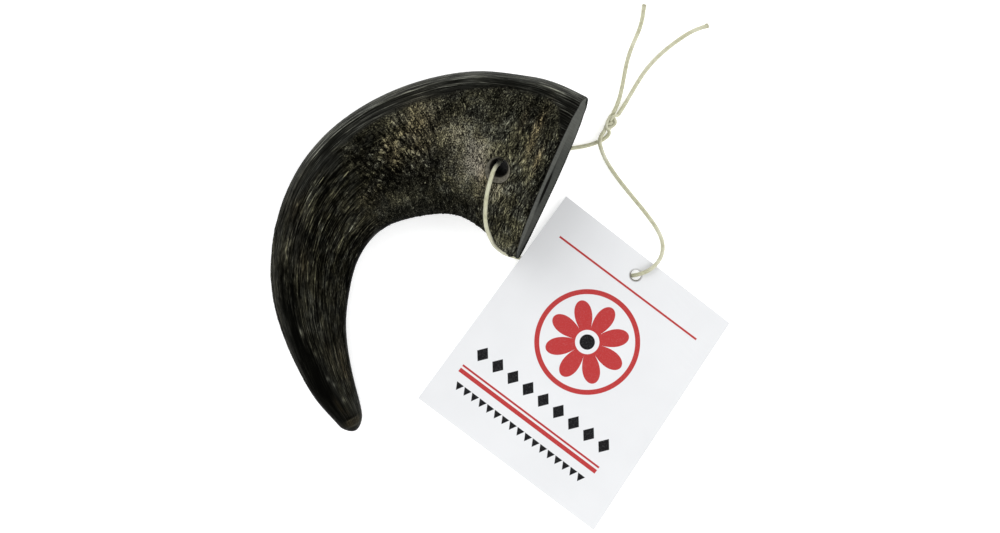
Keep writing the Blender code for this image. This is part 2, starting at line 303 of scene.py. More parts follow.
def knot_strands(loop_ends, tail_ends):
    """Both strands of the overhand knot: laid loosely side by side, then drawn tight until they press
    on one another. Works in millimetres, x along the knot, z up."""
    turn = np.linspace(-2.0, 2.0, 160)
    loose = np.column_stack(
        [1.35 * (turn**3 - 3 * turn), 1.1 * (turn**4 - 4 * turn**2 + 2), 1.1 * (turn**5 / 5 - 2 * turn)]
    )
    swing = np.pi * (1 - (turn + 2) / 4)
    beside = 0.55 * np.column_stack([0 * turn, np.cos(swing), np.sin(swing)])
    count = 60
    laid = [
        evenly(np.vstack([loop_ends[k], loose + side * beside, tail_ends[k]]), count)
        for k, side in ((0, 1), (1, -1))
    ]
    points = np.vstack(laid)
    strand = np.repeat([0, 1], count)
    number = np.tile(np.arange(count), 2)
    same = strand[:, None] == strand[None, :]
    apart = np.abs(number[:, None] - number[None, :])
    pins = [0, count - 1, count, 2 * count - 1]
    held = points[pins].copy()
    for pull in range(KNOT_PULLS):
        steps = []
        for k in (0, 1):
            part = points[k * count : (k + 1) * count]
            step = np.linalg.norm(np.diff(part, axis=0), axis=1).mean()
            steps.append(step)
            for half in (0, 1):
                here, there = part[half:-1:2], part[half + 1 :: 2]
                pairs = min(len(here), len(there))
                between = there[:pairs] - here[:pairs]
                size = np.linalg.norm(between, axis=1, keepdims=True)
                move = 0.5 * (size - 0.978 * step) / size * between
                here[:pairs] += move
                there[:pairs] -= move
            part[1:-1] += 0.25 * ((part[:-2] + part[2:]) / 2 - part[1:-1])
        neighbours = same & (apart * min(steps) < 1.5 * KNOT_STRAND_MM)
        for press in range(4):
            away = points[:, None] - points[None, :]
            distance = np.linalg.norm(away, axis=2)
            touching = (distance < KNOT_STRAND_MM) & ~neighbours & (distance > 1e-9)
            push = np.where(touching, (KNOT_STRAND_MM - distance) / np.maximum(distance, 1e-6), 0)
            points += 0.3 * (push[:, :, None] * away).sum(1)
            points[:, 2] = np.maximum(points[:, 2], 0.52 - KNOT_MIDDLE.z / MM)
        points[pins] = held
        if pull % 20 == 19:
            for k in (0, 1):
                points[k * count : (k + 1) * count] = evenly(points[k * count : (k + 1) * count], count)
            points[pins] = held
    middle = np.abs(points[:, 0]) < 2.2
    off_line = points[middle].mean(0) * np.array([0, 1, 0])
    inside = np.clip((2.9 - np.abs(points[:, 0])) / 1.4, 0, 1)[:, None]
    points = points * (1 + inside * np.array([0.2, 0, 0])) + inside * (np.array(KNOT_SHIFT_MM) - off_line)
    return points[:count], points[count:]


def unit(ways):
    return ways / np.linalg.norm(ways, axis=-1, keepdims=True)


def ring_frames(line):
    """Two directions square to a line at each point, carried along it without twisting."""
    heading = unit(np.gradient(line, axis=0))
    side = np.zeros_like(line)
    side[0] = unit(np.cross(heading[0], (0.0, 0.0, 1.0)))
    for k in range(1, len(line)):
        side[k] = unit(side[k - 1] - heading[k] * (side[k - 1] @ heading[k]))
    return side, np.cross(heading, side)


def tube_mesh(name, rings, along, round_share):
    """A closed skin over rings of points, with a UV map that runs along it and round it."""
    count, sides = rings.shape[:2]
    corners = np.arange(count * sides).reshape(count, sides)
    this, beside = corners[:-1], np.roll(corners, -1, axis=1)[:-1]
    over, over_beside = corners[1:], np.roll(corners, -1, axis=1)[1:]
    quads = np.stack([this, beside, over_beside, over], axis=-1).reshape(-1, 4)
    mesh = bpy.data.meshes.new(name)
    faces = quads.tolist() + [corners[0][::-1].tolist(), corners[-1].tolist()]
    mesh.from_pydata(rings.reshape(-1, 3).tolist(), [], faces)
    across = np.concatenate([round_share, [1.0]])
    u = np.stack([along[:-1], along[:-1], along[1:], along[1:]], axis=-1)[:, None, :].repeat(sides, axis=1)
    v = np.stack([across[:-1], across[1:], across[1:], across[:-1]], axis=-1)[None].repeat(count - 1, axis=0)
    caps = np.zeros((2 * sides, 2))
    flat = np.vstack([np.stack([u, v], axis=-1).reshape(-1, 2), caps])
    mesh.uv_layers.new(name="along").data.foreach_set("uv", flat.ravel())
    return mesh


def to_knot(point):
    """A point in metres as seen from the knot's middle, in millimetres, x along the knot."""
    away = (Vector(point) - KNOT_MIDDLE) / MM
    return tuple(Matrix.Rotation(-KNOT_DIRECTION, 3, "Z") @ away)


def store(mesh, name, values, kind="FLOAT"):
    """Writes one value for each point of a mesh under a name that its material can read."""
    kept = mesh.attributes.new(name, kind, "POINT")
    values = np.asarray(values, np.float32).ravel()
    kept.data.foreach_set("vector" if kind == "FLOAT_VECTOR" else "value", values)


def bumps(height, strength, distance):
    inputs = {"Height": height, "Strength": strength, "Distance": distance}
    return lay_node(height.tree, "ShaderNodeBump", inputs)


loop_line, upper_tail, right_tail = (
    route_line(route) for route in (LOOP_ROUTE_MM, UPPER_TAIL_ROUTE_MM, RIGHT_TAIL_ROUTE_MM)
)
first_strand, second_strand = knot_strands(
    (to_knot(loop_line[0]), to_knot(loop_line[-1])), (to_knot(upper_tail[0]), to_knot(right_tail[0]))
)
from_knot = np.array(Matrix.Rotation(KNOT_DIRECTION, 3, "Z")).T * MM
first_strand = first_strand @ from_knot + np.array(KNOT_MIDDLE)
second_strand = second_strand @ from_knot + np.array(KNOT_MIDDLE)
string_line = np.vstack(
    [upper_tail[::-1], first_strand[::-1][1:-1], loop_line, second_strand[1:-1], right_tail]
)
ring_count = round(length_along(string_line)[-1] / STRING_RING_STEP)
string_line = evenly(string_line, ring_count)
for relax in range(10):
    string_line[1:-1] += 0.5 * ((string_line[:-2] + string_line[2:]) / 2 - string_line[1:-1])
string_line = evenly(string_line, ring_count)
string_along = length_along(string_line)
string_length = float(string_along[-1])

knot_away = np.linalg.norm(string_line - np.array(KNOT_MIDDLE), axis=1) / MM
squeezed = 1 - np.clip((knot_away - SQUEEZE_WITHIN_MM) / SQUEEZE_FADE_MM, 0, 1)
string_radius = STRING_DIAMETER / 2 * (1 - SQUEEZE * squeezed**2 * (3 - 2 * squeezed))
from_end = np.minimum(string_along, string_length - string_along) / MM
string_radius *= 1 + END_SWELL * np.exp(-((from_end / END_SWELL_MM) ** 2))
side_way, up_way = ring_frames(string_line)
round_share = np.arange(STRING_SIDES) / STRING_SIDES
angle = 2 * np.pi * round_share[None, :]
ply = angle - 2 * np.pi * string_along[:, None] / STRING_LAY
bulge = np.abs(np.cos(STRING_PLIES * ply / 2)) ** 0.8
uneven = np.array([noise.noise((a / MM / UNEVEN_STEP_MM, 3.1, 0.4)) for a in string_along])
ring_size = string_radius[:, None] * (1 - PLY_DEPTH + PLY_DEPTH * bulge)
ring_size = ring_size * (1 + UNEVENNESS * uneven[:, None])
string_rings = (
    string_line[:, None]
    + (ring_size * np.cos(angle))[:, :, None] * side_way[:, None]
    + (ring_size * np.sin(angle))[:, :, None] * up_way[:, None]
)
string_rings[:, :, 2] = np.maximum(string_rings[:, :, 2], 0.01 * MM)
string_mesh = tube_mesh("string", string_rings, string_along, round_share)
string_mesh.shade_smooth()
string = put_in_scene("string", string_mesh)

waxed_cotton, cotton, cotton_shader = start_material("waxed_cotton")
yarn_map = lay_node(cotton, "ShaderNodeUVMap", uv_map="along")
combed = lay_node(cotton, "ShaderNodeMapping", {"Vector": yarn_map, "Scale": (700.0, 9.0, 1.0)})
strands = soft_noise(combed, 1.0, 4.0, 0.6)
cream = tint(spread(strands, 0.35, 0.62), COTTON_SHADE, COTTON_CREAM)
waxy = spread(soft_noise(object_place(cotton), 160.0), 0.45, 0.75)
plug(
    cotton_shader,
    {
        "Base Color": tint(waxy, cream, COTTON_WAX),
        "Roughness": 0.5,
        "Sheen Weight": 0.25,
        "Normal": bumps(strands, 0.5, 0.0001),
    },
)
string_mesh.materials.append(waxed_cotton)

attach(string, "root")
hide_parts("string_loop", "string_knot", "string_tail_upper", "string_tail_right")

# The frayed ends: loose cotton fibres that stand out round the string's two cut ends, each one
# a thin lens. They are spread over the string's skin, thick at the cuts and none further in.
FRAY_DENSITY = 2.4e7
FRAY_REACH_MM = 0.8
FRAY_OUTWARD = 0.35


def chip_mesh():
    """One chip of unit length, width and height: an eight-sided lens, fuller at its middle."""
    round_by = [k * math.tau / 8 for k in range(8)]
    rim = [(0.5 * math.cos(a), 0.5 * math.sin(a) * (0.7 + 0.3 * math.sin(a) ** 2), 0) for a in round_by]
    over = [(k, (k + 1) % 8, 8) for k in range(8)]
    under = [((k + 1) % 8, k, 9) for k in range(8)]
    mesh = bpy.data.meshes.new("chip")
    mesh.from_pydata([*rim, (0.06, 0.02, 0.5), (0, 0, -0.5)], [], [*over, *under])
    return mesh


def scattering_tree():
    """Chips spread over a skin, thicker where its stored chance is high, each laid along a stored way."""
    tree = bpy.data.node_groups.new("scattered_chips", "GeometryNodeTree")
    kinds = {"Skin": "Geometry", "Chip": "Object", "Density": "Float", "Chance": "String", "Way": "String"}
    kinds |= {"Smallest": "Vector", "Largest": "Vector", "Tilt": "Vector", "Darkest": "Float"}
    kinds |= {"Palest": "Float", "Seed": "Int", "Finish": "Material"}
    sockets = {
        name: tree.interface.new_socket(name, in_out="INPUT", socket_type="NodeSocket" + kind).identifier
        for name, kind in kinds.items()
    }
    tree.interface.new_socket("Chips", in_out="OUTPUT", socket_type="NodeSocketGeometry")
    given = dict(zip(kinds, lay_node(tree, "NodeGroupInput", out=tuple(kinds))))

    def stored(name, kind):
        return lay_node(tree, "GeometryNodeInputNamedAttribute", {"Name": name}, "Attribute", data_type=kind)

    def turned_to(axis, inputs, **settings):
        return lay_node(tree, "FunctionNodeAlignRotationToVector", inputs, axis=axis, **settings)

    def drawn(low, high, seed):
        inputs = {0: low, 1: high, 8: seed}
        return lay_node(tree, "FunctionNodeRandomValue", inputs, data_type="FLOAT_VECTOR")

    density = stored(given["Chance"], "FLOAT") * given["Density"]
    inputs = {"Mesh": given["Skin"], "Density": density, "Seed": given["Seed"]}
    points, normal = lay_node(
        tree, "GeometryNodeDistributePointsOnFaces", inputs, ("Points", "Normal"), distribute_method="RANDOM"
    )
    upright = turned_to("Z", {"Vector": normal})
    way = stored(given["Way"], "FLOAT_VECTOR")
    laid = turned_to("X", {"Rotation": upright, "Vector": way}, pivot_axis="Z")
    back = lay_node(tree, "ShaderNodeVectorMath", {0: given["Tilt"], 1: (-1, -1, -1)}, operation="MULTIPLY")
    lean = lay_node(tree, "FunctionNodeEulerToRotation", {0: drawn(back, given["Tilt"], given["Seed"])})
    inputs = {"Rotation": laid, "Rotate By": lean}
    turned = lay_node(tree, "FunctionNodeRotateRotation", inputs, rotation_space="LOCAL")
    size = drawn(given["Smallest"], given["Largest"], given["Seed"] + 7.0)
    inputs = {"Object": given["Chip"]}
    chip = lay_node(tree, "GeometryNodeObjectInfo", inputs, "Geometry", transform_space="ORIGINAL")
    inputs = {"Points": points, "Instance": chip, "Rotation": turned, "Scale": size}
    chips = lay_node(tree, "GeometryNodeInstanceOnPoints", inputs)
    inputs = {2: given["Darkest"], 3: given["Palest"], 8: given["Seed"] + 13.0}
    shade = lay_node(tree, "FunctionNodeRandomValue", inputs, 1, data_type="FLOAT")
    inputs = {"Geometry": chips, "Name": "flake_tone", "Value": shade}
    shaded = lay_node(tree, "GeometryNodeStoreNamedAttribute", inputs, data_type="FLOAT", domain="INSTANCE")
    solid = lay_node(tree, "GeometryNodeRealizeInstances", {"Geometry": shaded})
    finished = lay_node(tree, "GeometryNodeSetMaterial", {"Geometry": solid, "Material": given["Finish"]})
    lay_node(tree, "NodeGroupOutput", {0: finished}, ())
    return tree, sockets


def scatter(name, skin_mesh, finish, *runs):
    """One piece made of every chip that the runs lay on a mesh. A run gives the names of the chance and
    the way on the mesh, the density, the smallest and largest size in mm, the tilt, the darkest and
    palest tone, and the seed."""
    joined = bmesh.new()
    for chance, way, density, smallest, largest, tilt, darkest, palest, seed in runs:
        ground = put_in_scene(name, skin_mesh)
        change = ground.modifiers.new("chips", "NODES")
        change.node_group = scattering
        run = {"Chip": one_chip, "Finish": finish, "Chance": chance, "Way": way, "Density": density}
        run |= {"Smallest": Vector(smallest) * MM, "Largest": Vector(largest) * MM, "Tilt": tilt}
        run |= {"Darkest": darkest, "Palest": palest, "Seed": seed}
        for label, value in run.items():
            change[scattering_sockets[label]] = value
        bpy.context.view_layer.update()
        scattered = ground.evaluated_get(bpy.context.evaluated_depsgraph_get())
        made = bpy.data.meshes.new_from_object(scattered)
        joined.from_mesh(made)
        ground.modifiers.clear()
        bpy.data.objects.remove(ground)
    for vert in joined.verts:
        vert.co.z = max(vert.co.z, 0.02 * MM)  # none dips under the table
    joined.to_mesh(made)
    joined.free()
    made.materials.clear()
    made.materials.append(finish)
    made.polygons.foreach_set("material_index", np.zeros(len(made.polygons), np.int32))
    return put_in_scene(name, made)


scattering, scattering_sockets = scattering_tree()


fray = np.exp(-((from_end / FRAY_REACH_MM) ** 2))
store(string_mesh, "fray", np.repeat(fray, STRING_SIDES))
outward_way = np.gradient(string_line, axis=0) * np.where(string_along < string_length / 2, -1, 1)[:, None]
fibre_way = FRAY_OUTWARD * (string_rings - string_line[:, None]) / (STRING_DIAMETER / 2)
fibre_way = fibre_way + unit(outward_way)[:, None]
store(string_mesh, "fibre_way", fibre_way, "FLOAT_VECTOR")

cotton_fibre, fibre, fibre_shader = start_material("cotton_fibre")
fibre_share = spread(soft_noise(object_place(fibre), 1400.0), 0.4, 0.6)
plug(fibre_shader, {"Base Color": tint(fibre_share, COTTON_SHADE, COTTON_WAX), "Roughness": 0.8})
one_chip = put_in_scene("chip", chip_mesh())
frayed_ends = scatter(
    "frayed_ends",
    string_mesh,
    cotton_fibre,
    ("fray", "fibre_way", FRAY_DENSITY, (0.5, 0.05, 0.05), (1.3, 0.09, 0.09), (0.0, 0.25, 0.35), 0.0, 0.0, 3),
)
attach(frayed_ends, "root")

# The horn: one grown sheath of keratin, rough and layered near the sawn end, combed into long fibres
# round the bend and worn smooth at the tip, with a keel along its outer edge. It was sawn square
# and drilled once right through.
HORN_STATIONS_MM = (
    # outer edge x, y; inner edge x, y; thickness there, from the sawn end to the tip
    (52.2, 51.0, 29.1, -2.3, 22.0),
    (37.6, 57.3, 20.8, 4.7, 22.3),
    (31.0, 58.55, 17.3, 7.6, 22.25),
    (18.6, 60.1, 11.3, 11.4, 22.0),
    (-0.3, 57.8, 2.3, 12.7, 21.6),
    (-18.8, 50.7, -7.3, 11.1, 21.0),
    (-34.5, 39.6, -15.4, 7.9, 20.4),
    (-45.5, 25.3, -21.4, 2.0, 19.6),
    (-51.6, 8.9, -25.1, -5.3, 18.4),
    (-53.3, -8.3, -27.0, -13.3, 17.0),
    (-50.8, -23.2, -28.1, -22.0, 15.4),
    (-44.4, -39.1, -27.4, -33.7, 13.0),
    (-36.8, -51.6, -24.8, -46.3, 10.2),
    (-31.4, -57.7, -23.2, -53.3, 7.8),
    (-28.6, -61.2, -22.5, -59.0, 6.4),
)
TIP_DOME = 4.2 * MM
LIFT_ANGLE = math.radians(13)
LIFT_START = 43 * MM
LIFT_BEND = 25 * MM
BASE_FULLNESS, TIP_FULLNESS = 2.6, 2.0
UNDER_CUT, UNDER_INNER_CUT, UNDER_END = 0.20, 0.27, 42 * MM
KEEL_ROW_SHARE = 3 / 22
KEEL_SHARE_BASE, KEEL_SHARE_BEND = 0.047, 0.07
KEEL_END = 96 * MM
KEEL_RIDGE, KEEL_HOLLOW = 0.55 * MM, 0.5 * MM
HORN_SECTIONS, HORN_DOME_SECTIONS = 398, 26
HORN_POINTS_ROUND = 218
GROWTH_RADIUS_MM = 14.0
BORE_TOP = Vector((22.7, 27.4, 25.2)) * MM
BORE_BOTTOM = Vector((28.6, 31.5, 5.9)) * MM
BORE_RADIUS = 3.0 * MM
MOUTH_RADIUS, MOUTH_DEPTH = 4.1 * MM, 1.3 * MM
SLIT_ALONG_CHORD, SLIT_ABOVE_MIDDLE = -4.1 * MM, 4.3 * MM
SLIT_LENGTH, SLIT_WIDTH, SLIT_DEPTH, SLIT_OUTSIDE = 9.8 * MM, 2.6 * MM, 7.0 * MM, 0.4 * MM
# The sawn face's rings: drawn in and standing out in mm, then shares of the way to its middle
FACE_INSETS_MM = ((0.12, 0.05), (0.35, 0.10), (0.7, 0.10), (1.1, 0.10))
FACE_SHARES = (0.06, 0.14, 0.25, 0.4, 0.6, 0.82)
# Patches that show on the upper side: length from the sawn end in mm, side from -1 inner to 1 outer edge,
# reach along in mm, reach across in mm, strength
TAN_PATCHES = (
    (46.0, 0.28, 6.5, 8.0, 0.9),
    (55.0, 0.05, 4.0, 5.0, 0.8),
    (8.0, 0.38, 1.6, 8.5, 0.9),
    (4.5, 0.12, 1.1, 6.0, 0.7),
    (12.5, 0.45, 1.2, 5.0, 0.5),
    (20.0, -0.42, 3.0, 4.5, 0.45),
    (90.0, 0.60, 3.5, 2.2, 0.6),
    (103.0, 0.12, 5.0, 2.0, 0.55),
    (137.0, -0.75, 8.0, 1.8, 0.75),
    (133.0, -0.35, 7.0, 1.5, 0.4),
    (70.0, -0.45, 6.0, 4.0, 0.35),
    (158.0, 0.0, 1.5, 3.5, 1.1),
    (151.0, 0.15, 3.0, 0.7, 1.0),
    (154.0, -0.1, 2.0, 0.6, 0.8),
)
WORN_PATCHES = (
    (25.5, -0.20, 7.0, 7.0, 1.0),
    (22.0, -0.30, 3.5, 4.5, 1.25),
    (17.0, -0.42, 5.0, 7.0, 0.6),
    (33.0, -0.02, 5.0, 9.0, 0.5),
    (31.0, -0.5, 4.0, 4.0, 0.35),
    (96.0, 0.42, 9.0, 4.0, 0.28),
)
SMOOTH_PATCHES = (
    (74.4, 0.50, 3.6, 2.6, 0.9),
    (98.0, 0.35, 7.0, 1.6, 0.6),
    (146.0, 0.30, 10.0, 3.5, 1.0),
    (133.0, 0.55, 14.0, 2.6, 1.0),
)
DARK_PATCHES = (
    (48.5, -0.48, 9.5, 9.0, 0.7),
    (66.0, 0.30, 6.0, 6.0, 0.2),
    (16.0, 0.58, 17.0, 6.0, 0.75),
    (38.0, 0.62, 9.0, 3.0, 0.4),
    (0.2, -0.05, 1.3, 24.0, 0.9),
    (2.0, 0.72, 4.0, 5.0, 0.6),
    (3.2, -0.02, 1.3, 1.3, 1.3),
    (50.0, -0.97, 24.0, 5.6, 1.5),
    (22.0, -0.97, 16.0, 2.4, 0.9),
    (95.0, -0.98, 40.0, 1.6, 0.8),
    (139.0, 0.50, 18.0, 2.8, 1.9),
    (118.0, 0.62, 9.0, 1.4, 0.8),
    (153.0, 0.2, 6.0, 5.0, 0.45),
    (156.3, 0.1, 0.7, 3.2, 1.1),
    (2.6, -0.98, 1.8, 1.8, 1.2),
)
CHIP_PATCHES = (
    (124.6, 0.36, 1.9, 0.6, 1.35),
    (129.0, 0.20, 1.6, 0.5, 0.9),
    (132.0, 0.14, 1.0, 0.6, 0.8),
    (141.3, 0.02, 0.9, 0.5, 0.9),
    (143.8, -0.15, 0.8, 0.5, 0.8),
    (149.7, -0.25, 1.1, 0.8, 0.7),
    (88.5, 0.62, 0.5, 0.4, 0.9),
    (103.0, 0.55, 0.7, 0.4, 0.7),
    (159.3, -0.1, 0.35, 2.4, 0.45),
    (157.0, -0.15, 0.3, 2.2, 0.5),
    (153.0, -0.55, 3.0, 1.2, 0.35),
)
SKIN_TONES = (
    # how far from the darkest crevice to the palest crest, and how much light it gives back
    (0.0, 0.0012),
    (0.2, 0.0050),
    (0.4, 0.018),
    (0.6, 0.062),
    (0.8, 0.19),
    (1.0, 0.38),
)
OLIVE_CAST, COOL_CAST, TAN_CAST = (1.06, 1.0, 0.58), (1.0, 1.0, 0.74), (1.26, 1.0, 0.52)
WORN_CAST, KEEL_CAST = (1.11, 1.0, 0.80), (1.0, 1.03, 0.90)
SAWN_GREY, SAWN_SHADE, SAWN_PALE = (0.094, 0.096, 0.086), (0.066, 0.068, 0.061), (0.105, 0.110, 0.100)
SAWN_DARK, SLIT_SHADE_BLACK = (0.006, 0.007, 0.0065), (0.002, 0.0025, 0.0025)
# painted shade: the drilled walls are coloured near black and dark brown, for the shade deep inside the hole
# and the slit
BORE_SHADE_BLACK, BORE_SHADE_BROWN = (0.004, 0.0037, 0.003), (0.014, 0.0125, 0.010)
MOUTH_BROWN, MOUTH_PALE = (0.075, 0.070, 0.055), (0.19, 0.175, 0.14)


def smooth_step(low, high, value):
    t = np.clip((value - low) / (high - low), 0, 1)
    return t * t * (3 - 2 * t)


def lift_at(s):
    """How far the underside has risen off the table, at a distance s from the sawn end."""
    into = np.clip(LIFT_START - s, 0, None)
    slope = math.tan(LIFT_ANGLE)
    bent = np.minimum(into, LIFT_BEND)
    return slope * bent**2 / (2 * LIFT_BEND) + slope * np.clip(into - LIFT_BEND, 0, None)


def low_lumps(s, rows, rise, phase):
    """Low uneven swelling of grown horn: rings near the base, long flutes down the limb."""
    near_base = 1 - smooth_step(30 * MM, 70 * MM, s)
    rings = 0.16 * MM * near_base * np.sin(s / (1.5 * MM) + 2.2 * rows + phase)
    limb = smooth_step(45 * MM, 80 * MM, s) * (1 - smooth_step(125 * MM, 150 * MM, s))
    flutes = 0.22 * MM * limb * np.sin(19 * rows + 0.04 * s / MM + phase)
    broad = 0.25 * MM * np.sin(0.09 * s / MM + phase) * np.sin(5.5 * rows + 0.05 * s / MM)
    return (rings + flutes + broad) * np.clip(rise, 0, 1) ** 2 * (1 - smooth_step(140 * MM, 156 * MM, s))


def horn_loft():
    """Rings of points over the whole horn before its surface is roughened, with each point's place on it."""
    stations = np.array(HORN_STATIONS_MM) * MM
    outer, inner, thick = stations[:, 0:2], stations[:, 2:4], stations[:, 4]
    middle = (outer + inner) / 2
    along = length_along(middle)
    length = along[-1]
    dome_from = length - TIP_DOME
    body = np.linspace(0, dome_from, HORN_SECTIONS - HORN_DOME_SECTIONS, endpoint=False)
    dome = dome_from + TIP_DOME * np.sin(np.linspace(0, 0.485 * math.pi, HORN_DOME_SECTIONS))
    s = np.concatenate([body, dome])
    middle_at = smooth_through(along, middle, s)
    half_chord = smooth_through(along, (outer - inner) / 2, s)
    thick_at = smooth_through(along, thick, s)
    dome_share = np.sqrt(np.clip(1 - (np.clip(s - dome_from, 0, None) / TIP_DOME) ** 2, 0, 1))
    spine = np.column_stack([middle_at, lift_at(s) + thick_at / 2])
    forward = np.gradient(spine, s, axis=0)
    chord = np.column_stack([half_chord, 0 * s])
    across = unit(chord)
    up = unit(np.cross(forward, across))
    up *= np.where(up[:, 2:] > 0, 1, -1)
    half_width = (np.linalg.norm(chord, axis=1) * dome_share)[:, None]
    half_height = (thick_at / 2 * dome_share)[:, None]

    sc = s[:, None]
    fullness = BASE_FULLNESS + (TIP_FULLNESS - BASE_FULLNESS) * smooth_step(0.1, 0.7, sc / length)
    keel_share = KEEL_SHARE_BASE + (KEEL_SHARE_BEND - KEEL_SHARE_BASE) * smooth_step(0, KEEL_END, sc)
    even_rows = (1 - np.cos(np.pi * np.arange(199) / 198)) / 2
    keel_row = (1 - math.cos(math.pi * KEEL_ROW_SHARE)) / 2
    rows = even_rows[None, :] ** (np.log(keel_share) / math.log(keel_row))
    side = 1 - 2 * rows
    rise = np.clip(1 - np.abs(side) ** fullness, 0, 1) ** (1 / fullness)
    from_keel = rows / keel_share
    fade = 1 - smooth_step(0.7 * KEEL_END, KEEL_END, sc)
    ridge = KEEL_RIDGE * np.exp(-(((from_keel - 1) / 0.3) ** 2))
    hollow = KEEL_HOLLOW * np.exp(-(((from_keel - 2.0) / 0.7) ** 2))
    keel = fade * (ridge - hollow)
    top = half_height * rise + keel + low_lumps(sc, rows, rise, 0.0)
    flattened = UNDER_CUT + UNDER_INNER_CUT * smooth_step(0.3, -1.0, side)
    flattened = flattened * (1 - smooth_step(0, UNDER_END, sc))
    below = -(half_height * rise * (1 - flattened) + 0.6 * keel + 0.5 * low_lumps(sc, rows, rise, 2.1))
    top[:, 0] = top[:, -1] = 0
    x = half_width * side
    loops = [
        np.concatenate([over, under[:, -2:0:-1]], axis=1)
        for over, under in ((x, x), (top, below), (side, side), (from_keel, from_keel))
    ]
    out = np.zeros((len(s), HORN_POINTS_ROUND, 4))
    share = np.arange(HORN_POINTS_ROUND) / HORN_POINTS_ROUND
    for k in range(len(s)):
        shut = [np.append(loop[k], loop[k][0]) for loop in loops]
        walked = length_along(np.column_stack(shut[:2]))
        for i in range(4):
            out[k, :, i] = np.interp(share * walked[-1], walked, shut[i])
    points = spine[:, None] + out[:, :, 0:1] * across[:, None] + out[:, :, 1:2] * up[:, None]
    points[:, :, 2] -= points[:, :, 2].min()
    tip = np.array([*smooth_through(along, middle, np.array([length]))[0], thick[-1] / 2])
    face_middle = Vector(spine[0]) + Vector((0, 0, points[0, 0, 2] - spine[0, 2]))
    place = {
        "s": np.repeat(s[:, None], HORN_POINTS_ROUND, 1) / MM,
        "side": out[:, :, 2],
        "from_keel": out[:, :, 3],
        "half_mm": np.repeat(half_width, HORN_POINTS_ROUND, 1) / MM,
        "share": np.repeat(share[None, :], len(s), 0),
        "top": out[:, :, 1] > 0,
        "length": length / MM,
    }
    return points, tip, (face_middle, Vector(across[0]), Vector(up[0])), place


def noise_at(places, size, seed=0.0):
    """Smooth noise of a given grain size, in mm along, across and through, at every place."""
    scaled = (places / np.array(size) + seed).reshape(-1, 3)
    return np.array([noise.noise(p) for p in scaled.tolist()]).reshape(places.shape[:-1])


def patches(spots):
    """Soft-edged patches on the upper side, by length along the horn and share of its width."""
    total = np.zeros_like(s_mm)
    for at, across_at, reach_along, reach_across, strength in spots:
        away = ((s_mm - at) / reach_along) ** 2 + ((side - across_at) * half_mm / reach_across) ** 2
        total = np.maximum(total, strength * np.exp(-away))
    return total * upper


horn_points, horn_tip, (face_origin, face_across, face_up), place = horn_loft()
face_through = face_across.cross(face_up)
s_mm, side, half_mm, upper = (place[name] for name in ("s", "side", "half_mm", "top"))
from_keel, turn_round = place["from_keel"], 2 * np.pi * place["share"]
grown = np.stack(
    [s_mm, GROWTH_RADIUS_MM * np.cos(turn_round), GROWTH_RADIUS_MM * np.sin(turn_round)], axis=-1
)

# noises over the grown surface, from slow to fine, with the size of their grains in mm
wander = noise_at(grown, (7, 6, 6), 3.3)
warped, sideways = grown.copy(), grown.copy()
warped[..., 0] += 1.6 * wander
sideways[..., 1:] += 1.2 * wander[..., None]
growth_lines = noise_at(warped, (1.0, 4.5, 4.5), 11.0)
growth_fine = noise_at(warped, (0.5, 1.6, 1.6), 17.0)
grains = noise_at(grown, (1.0, 0.9, 0.9), 5.0)
fibres = noise_at(sideways, (10, 0.95, 0.95), 23.0)
fine_fibres = noise_at(sideways, (6, 0.5, 0.5), 29.0)
broad = noise_at(grown, (9, 7, 7), 41.0)
patchy = noise_at(grown, (11, 5, 5), 47.0)
flake_places = (sideways / np.array((2.2, 1.9, 1.9))).reshape(-1, 3).tolist()
cells = np.array([noise.voronoi(p)[0][:2] for p in flake_places]).reshape(*s_mm.shape, 2)
flake_edge, flake_tilt = cells[..., 1] - cells[..., 0], cells[..., 0]

# where the horn is smooth, combed, flaky, tan, worn or dark, each as a share from 0 to 1; the worn share also
# carries a painted highlight along the limb's outer edge
keel_limit = 2.1 + 0.75 * smooth_step(18, 40, s_mm) + 5.5 * np.exp(-s_mm / 2.9)
keel_zone = 1 - smooth_step(-0.35, 0.45, from_keel + 0.45 * wander - keel_limit)
keel_zone = keel_zone * (1 - 0.75 * smooth_step(70, 105, s_mm))
inner_edge = smooth_step(-0.93, -0.99, side) * smooth_step(45, 80, s_mm)
tip_zone = 0.28 * smooth_step(98, 128, s_mm + 9 * patchy) + 0.57 * smooth_step(143, 158, s_mm + 9 * patchy)
smooth_zone = np.clip(
    keel_zone + 0.9 * inner_edge + tip_zone + patches(SMOOTH_PATCHES) * (1 + 0.8 * patchy), 0, 1
)
limb_zone = smooth_step(58, 84, s_mm + 14 * wander + 6 * side)
base_zone = 1 - limb_zone
flaky_zone = np.exp(-(((s_mm - 60 + 10 * wander) / 14) ** 2))
flaky_zone = flaky_zone * smooth_step(0.75, 0.3, np.abs(side))
tan = patches(TAN_PATCHES) * (1 + 0.7 * patchy)
tan = np.maximum(tan, 0.55 * smooth_step(0.12, 0.45, patchy) * (1 - 0.5 * tip_zone) * ~upper)
worn = patches(WORN_PATCHES) * (1 + 0.4 * patchy)
worn = np.maximum(worn, 0.6 * smooth_step(0.1, 0.5, broad) * base_zone * ~upper)
# painted highlight: the upper side of the limb paler along its outer edge, for the light it catches there,
# added to the worn share
outer_rim_light = smooth_step(0.68, 0.88, side) * smooth_step(62, 84, s_mm) * upper
worn = np.maximum(worn, 0.27 * outer_rim_light)
dark = patches(DARK_PATCHES) * (1 + 0.5 * patchy)
chip = patches(CHIP_PATCHES)
lined = smooth_step(30, 14, s_mm + 5 * wander) * smooth_step(0.75, 0.35, side)

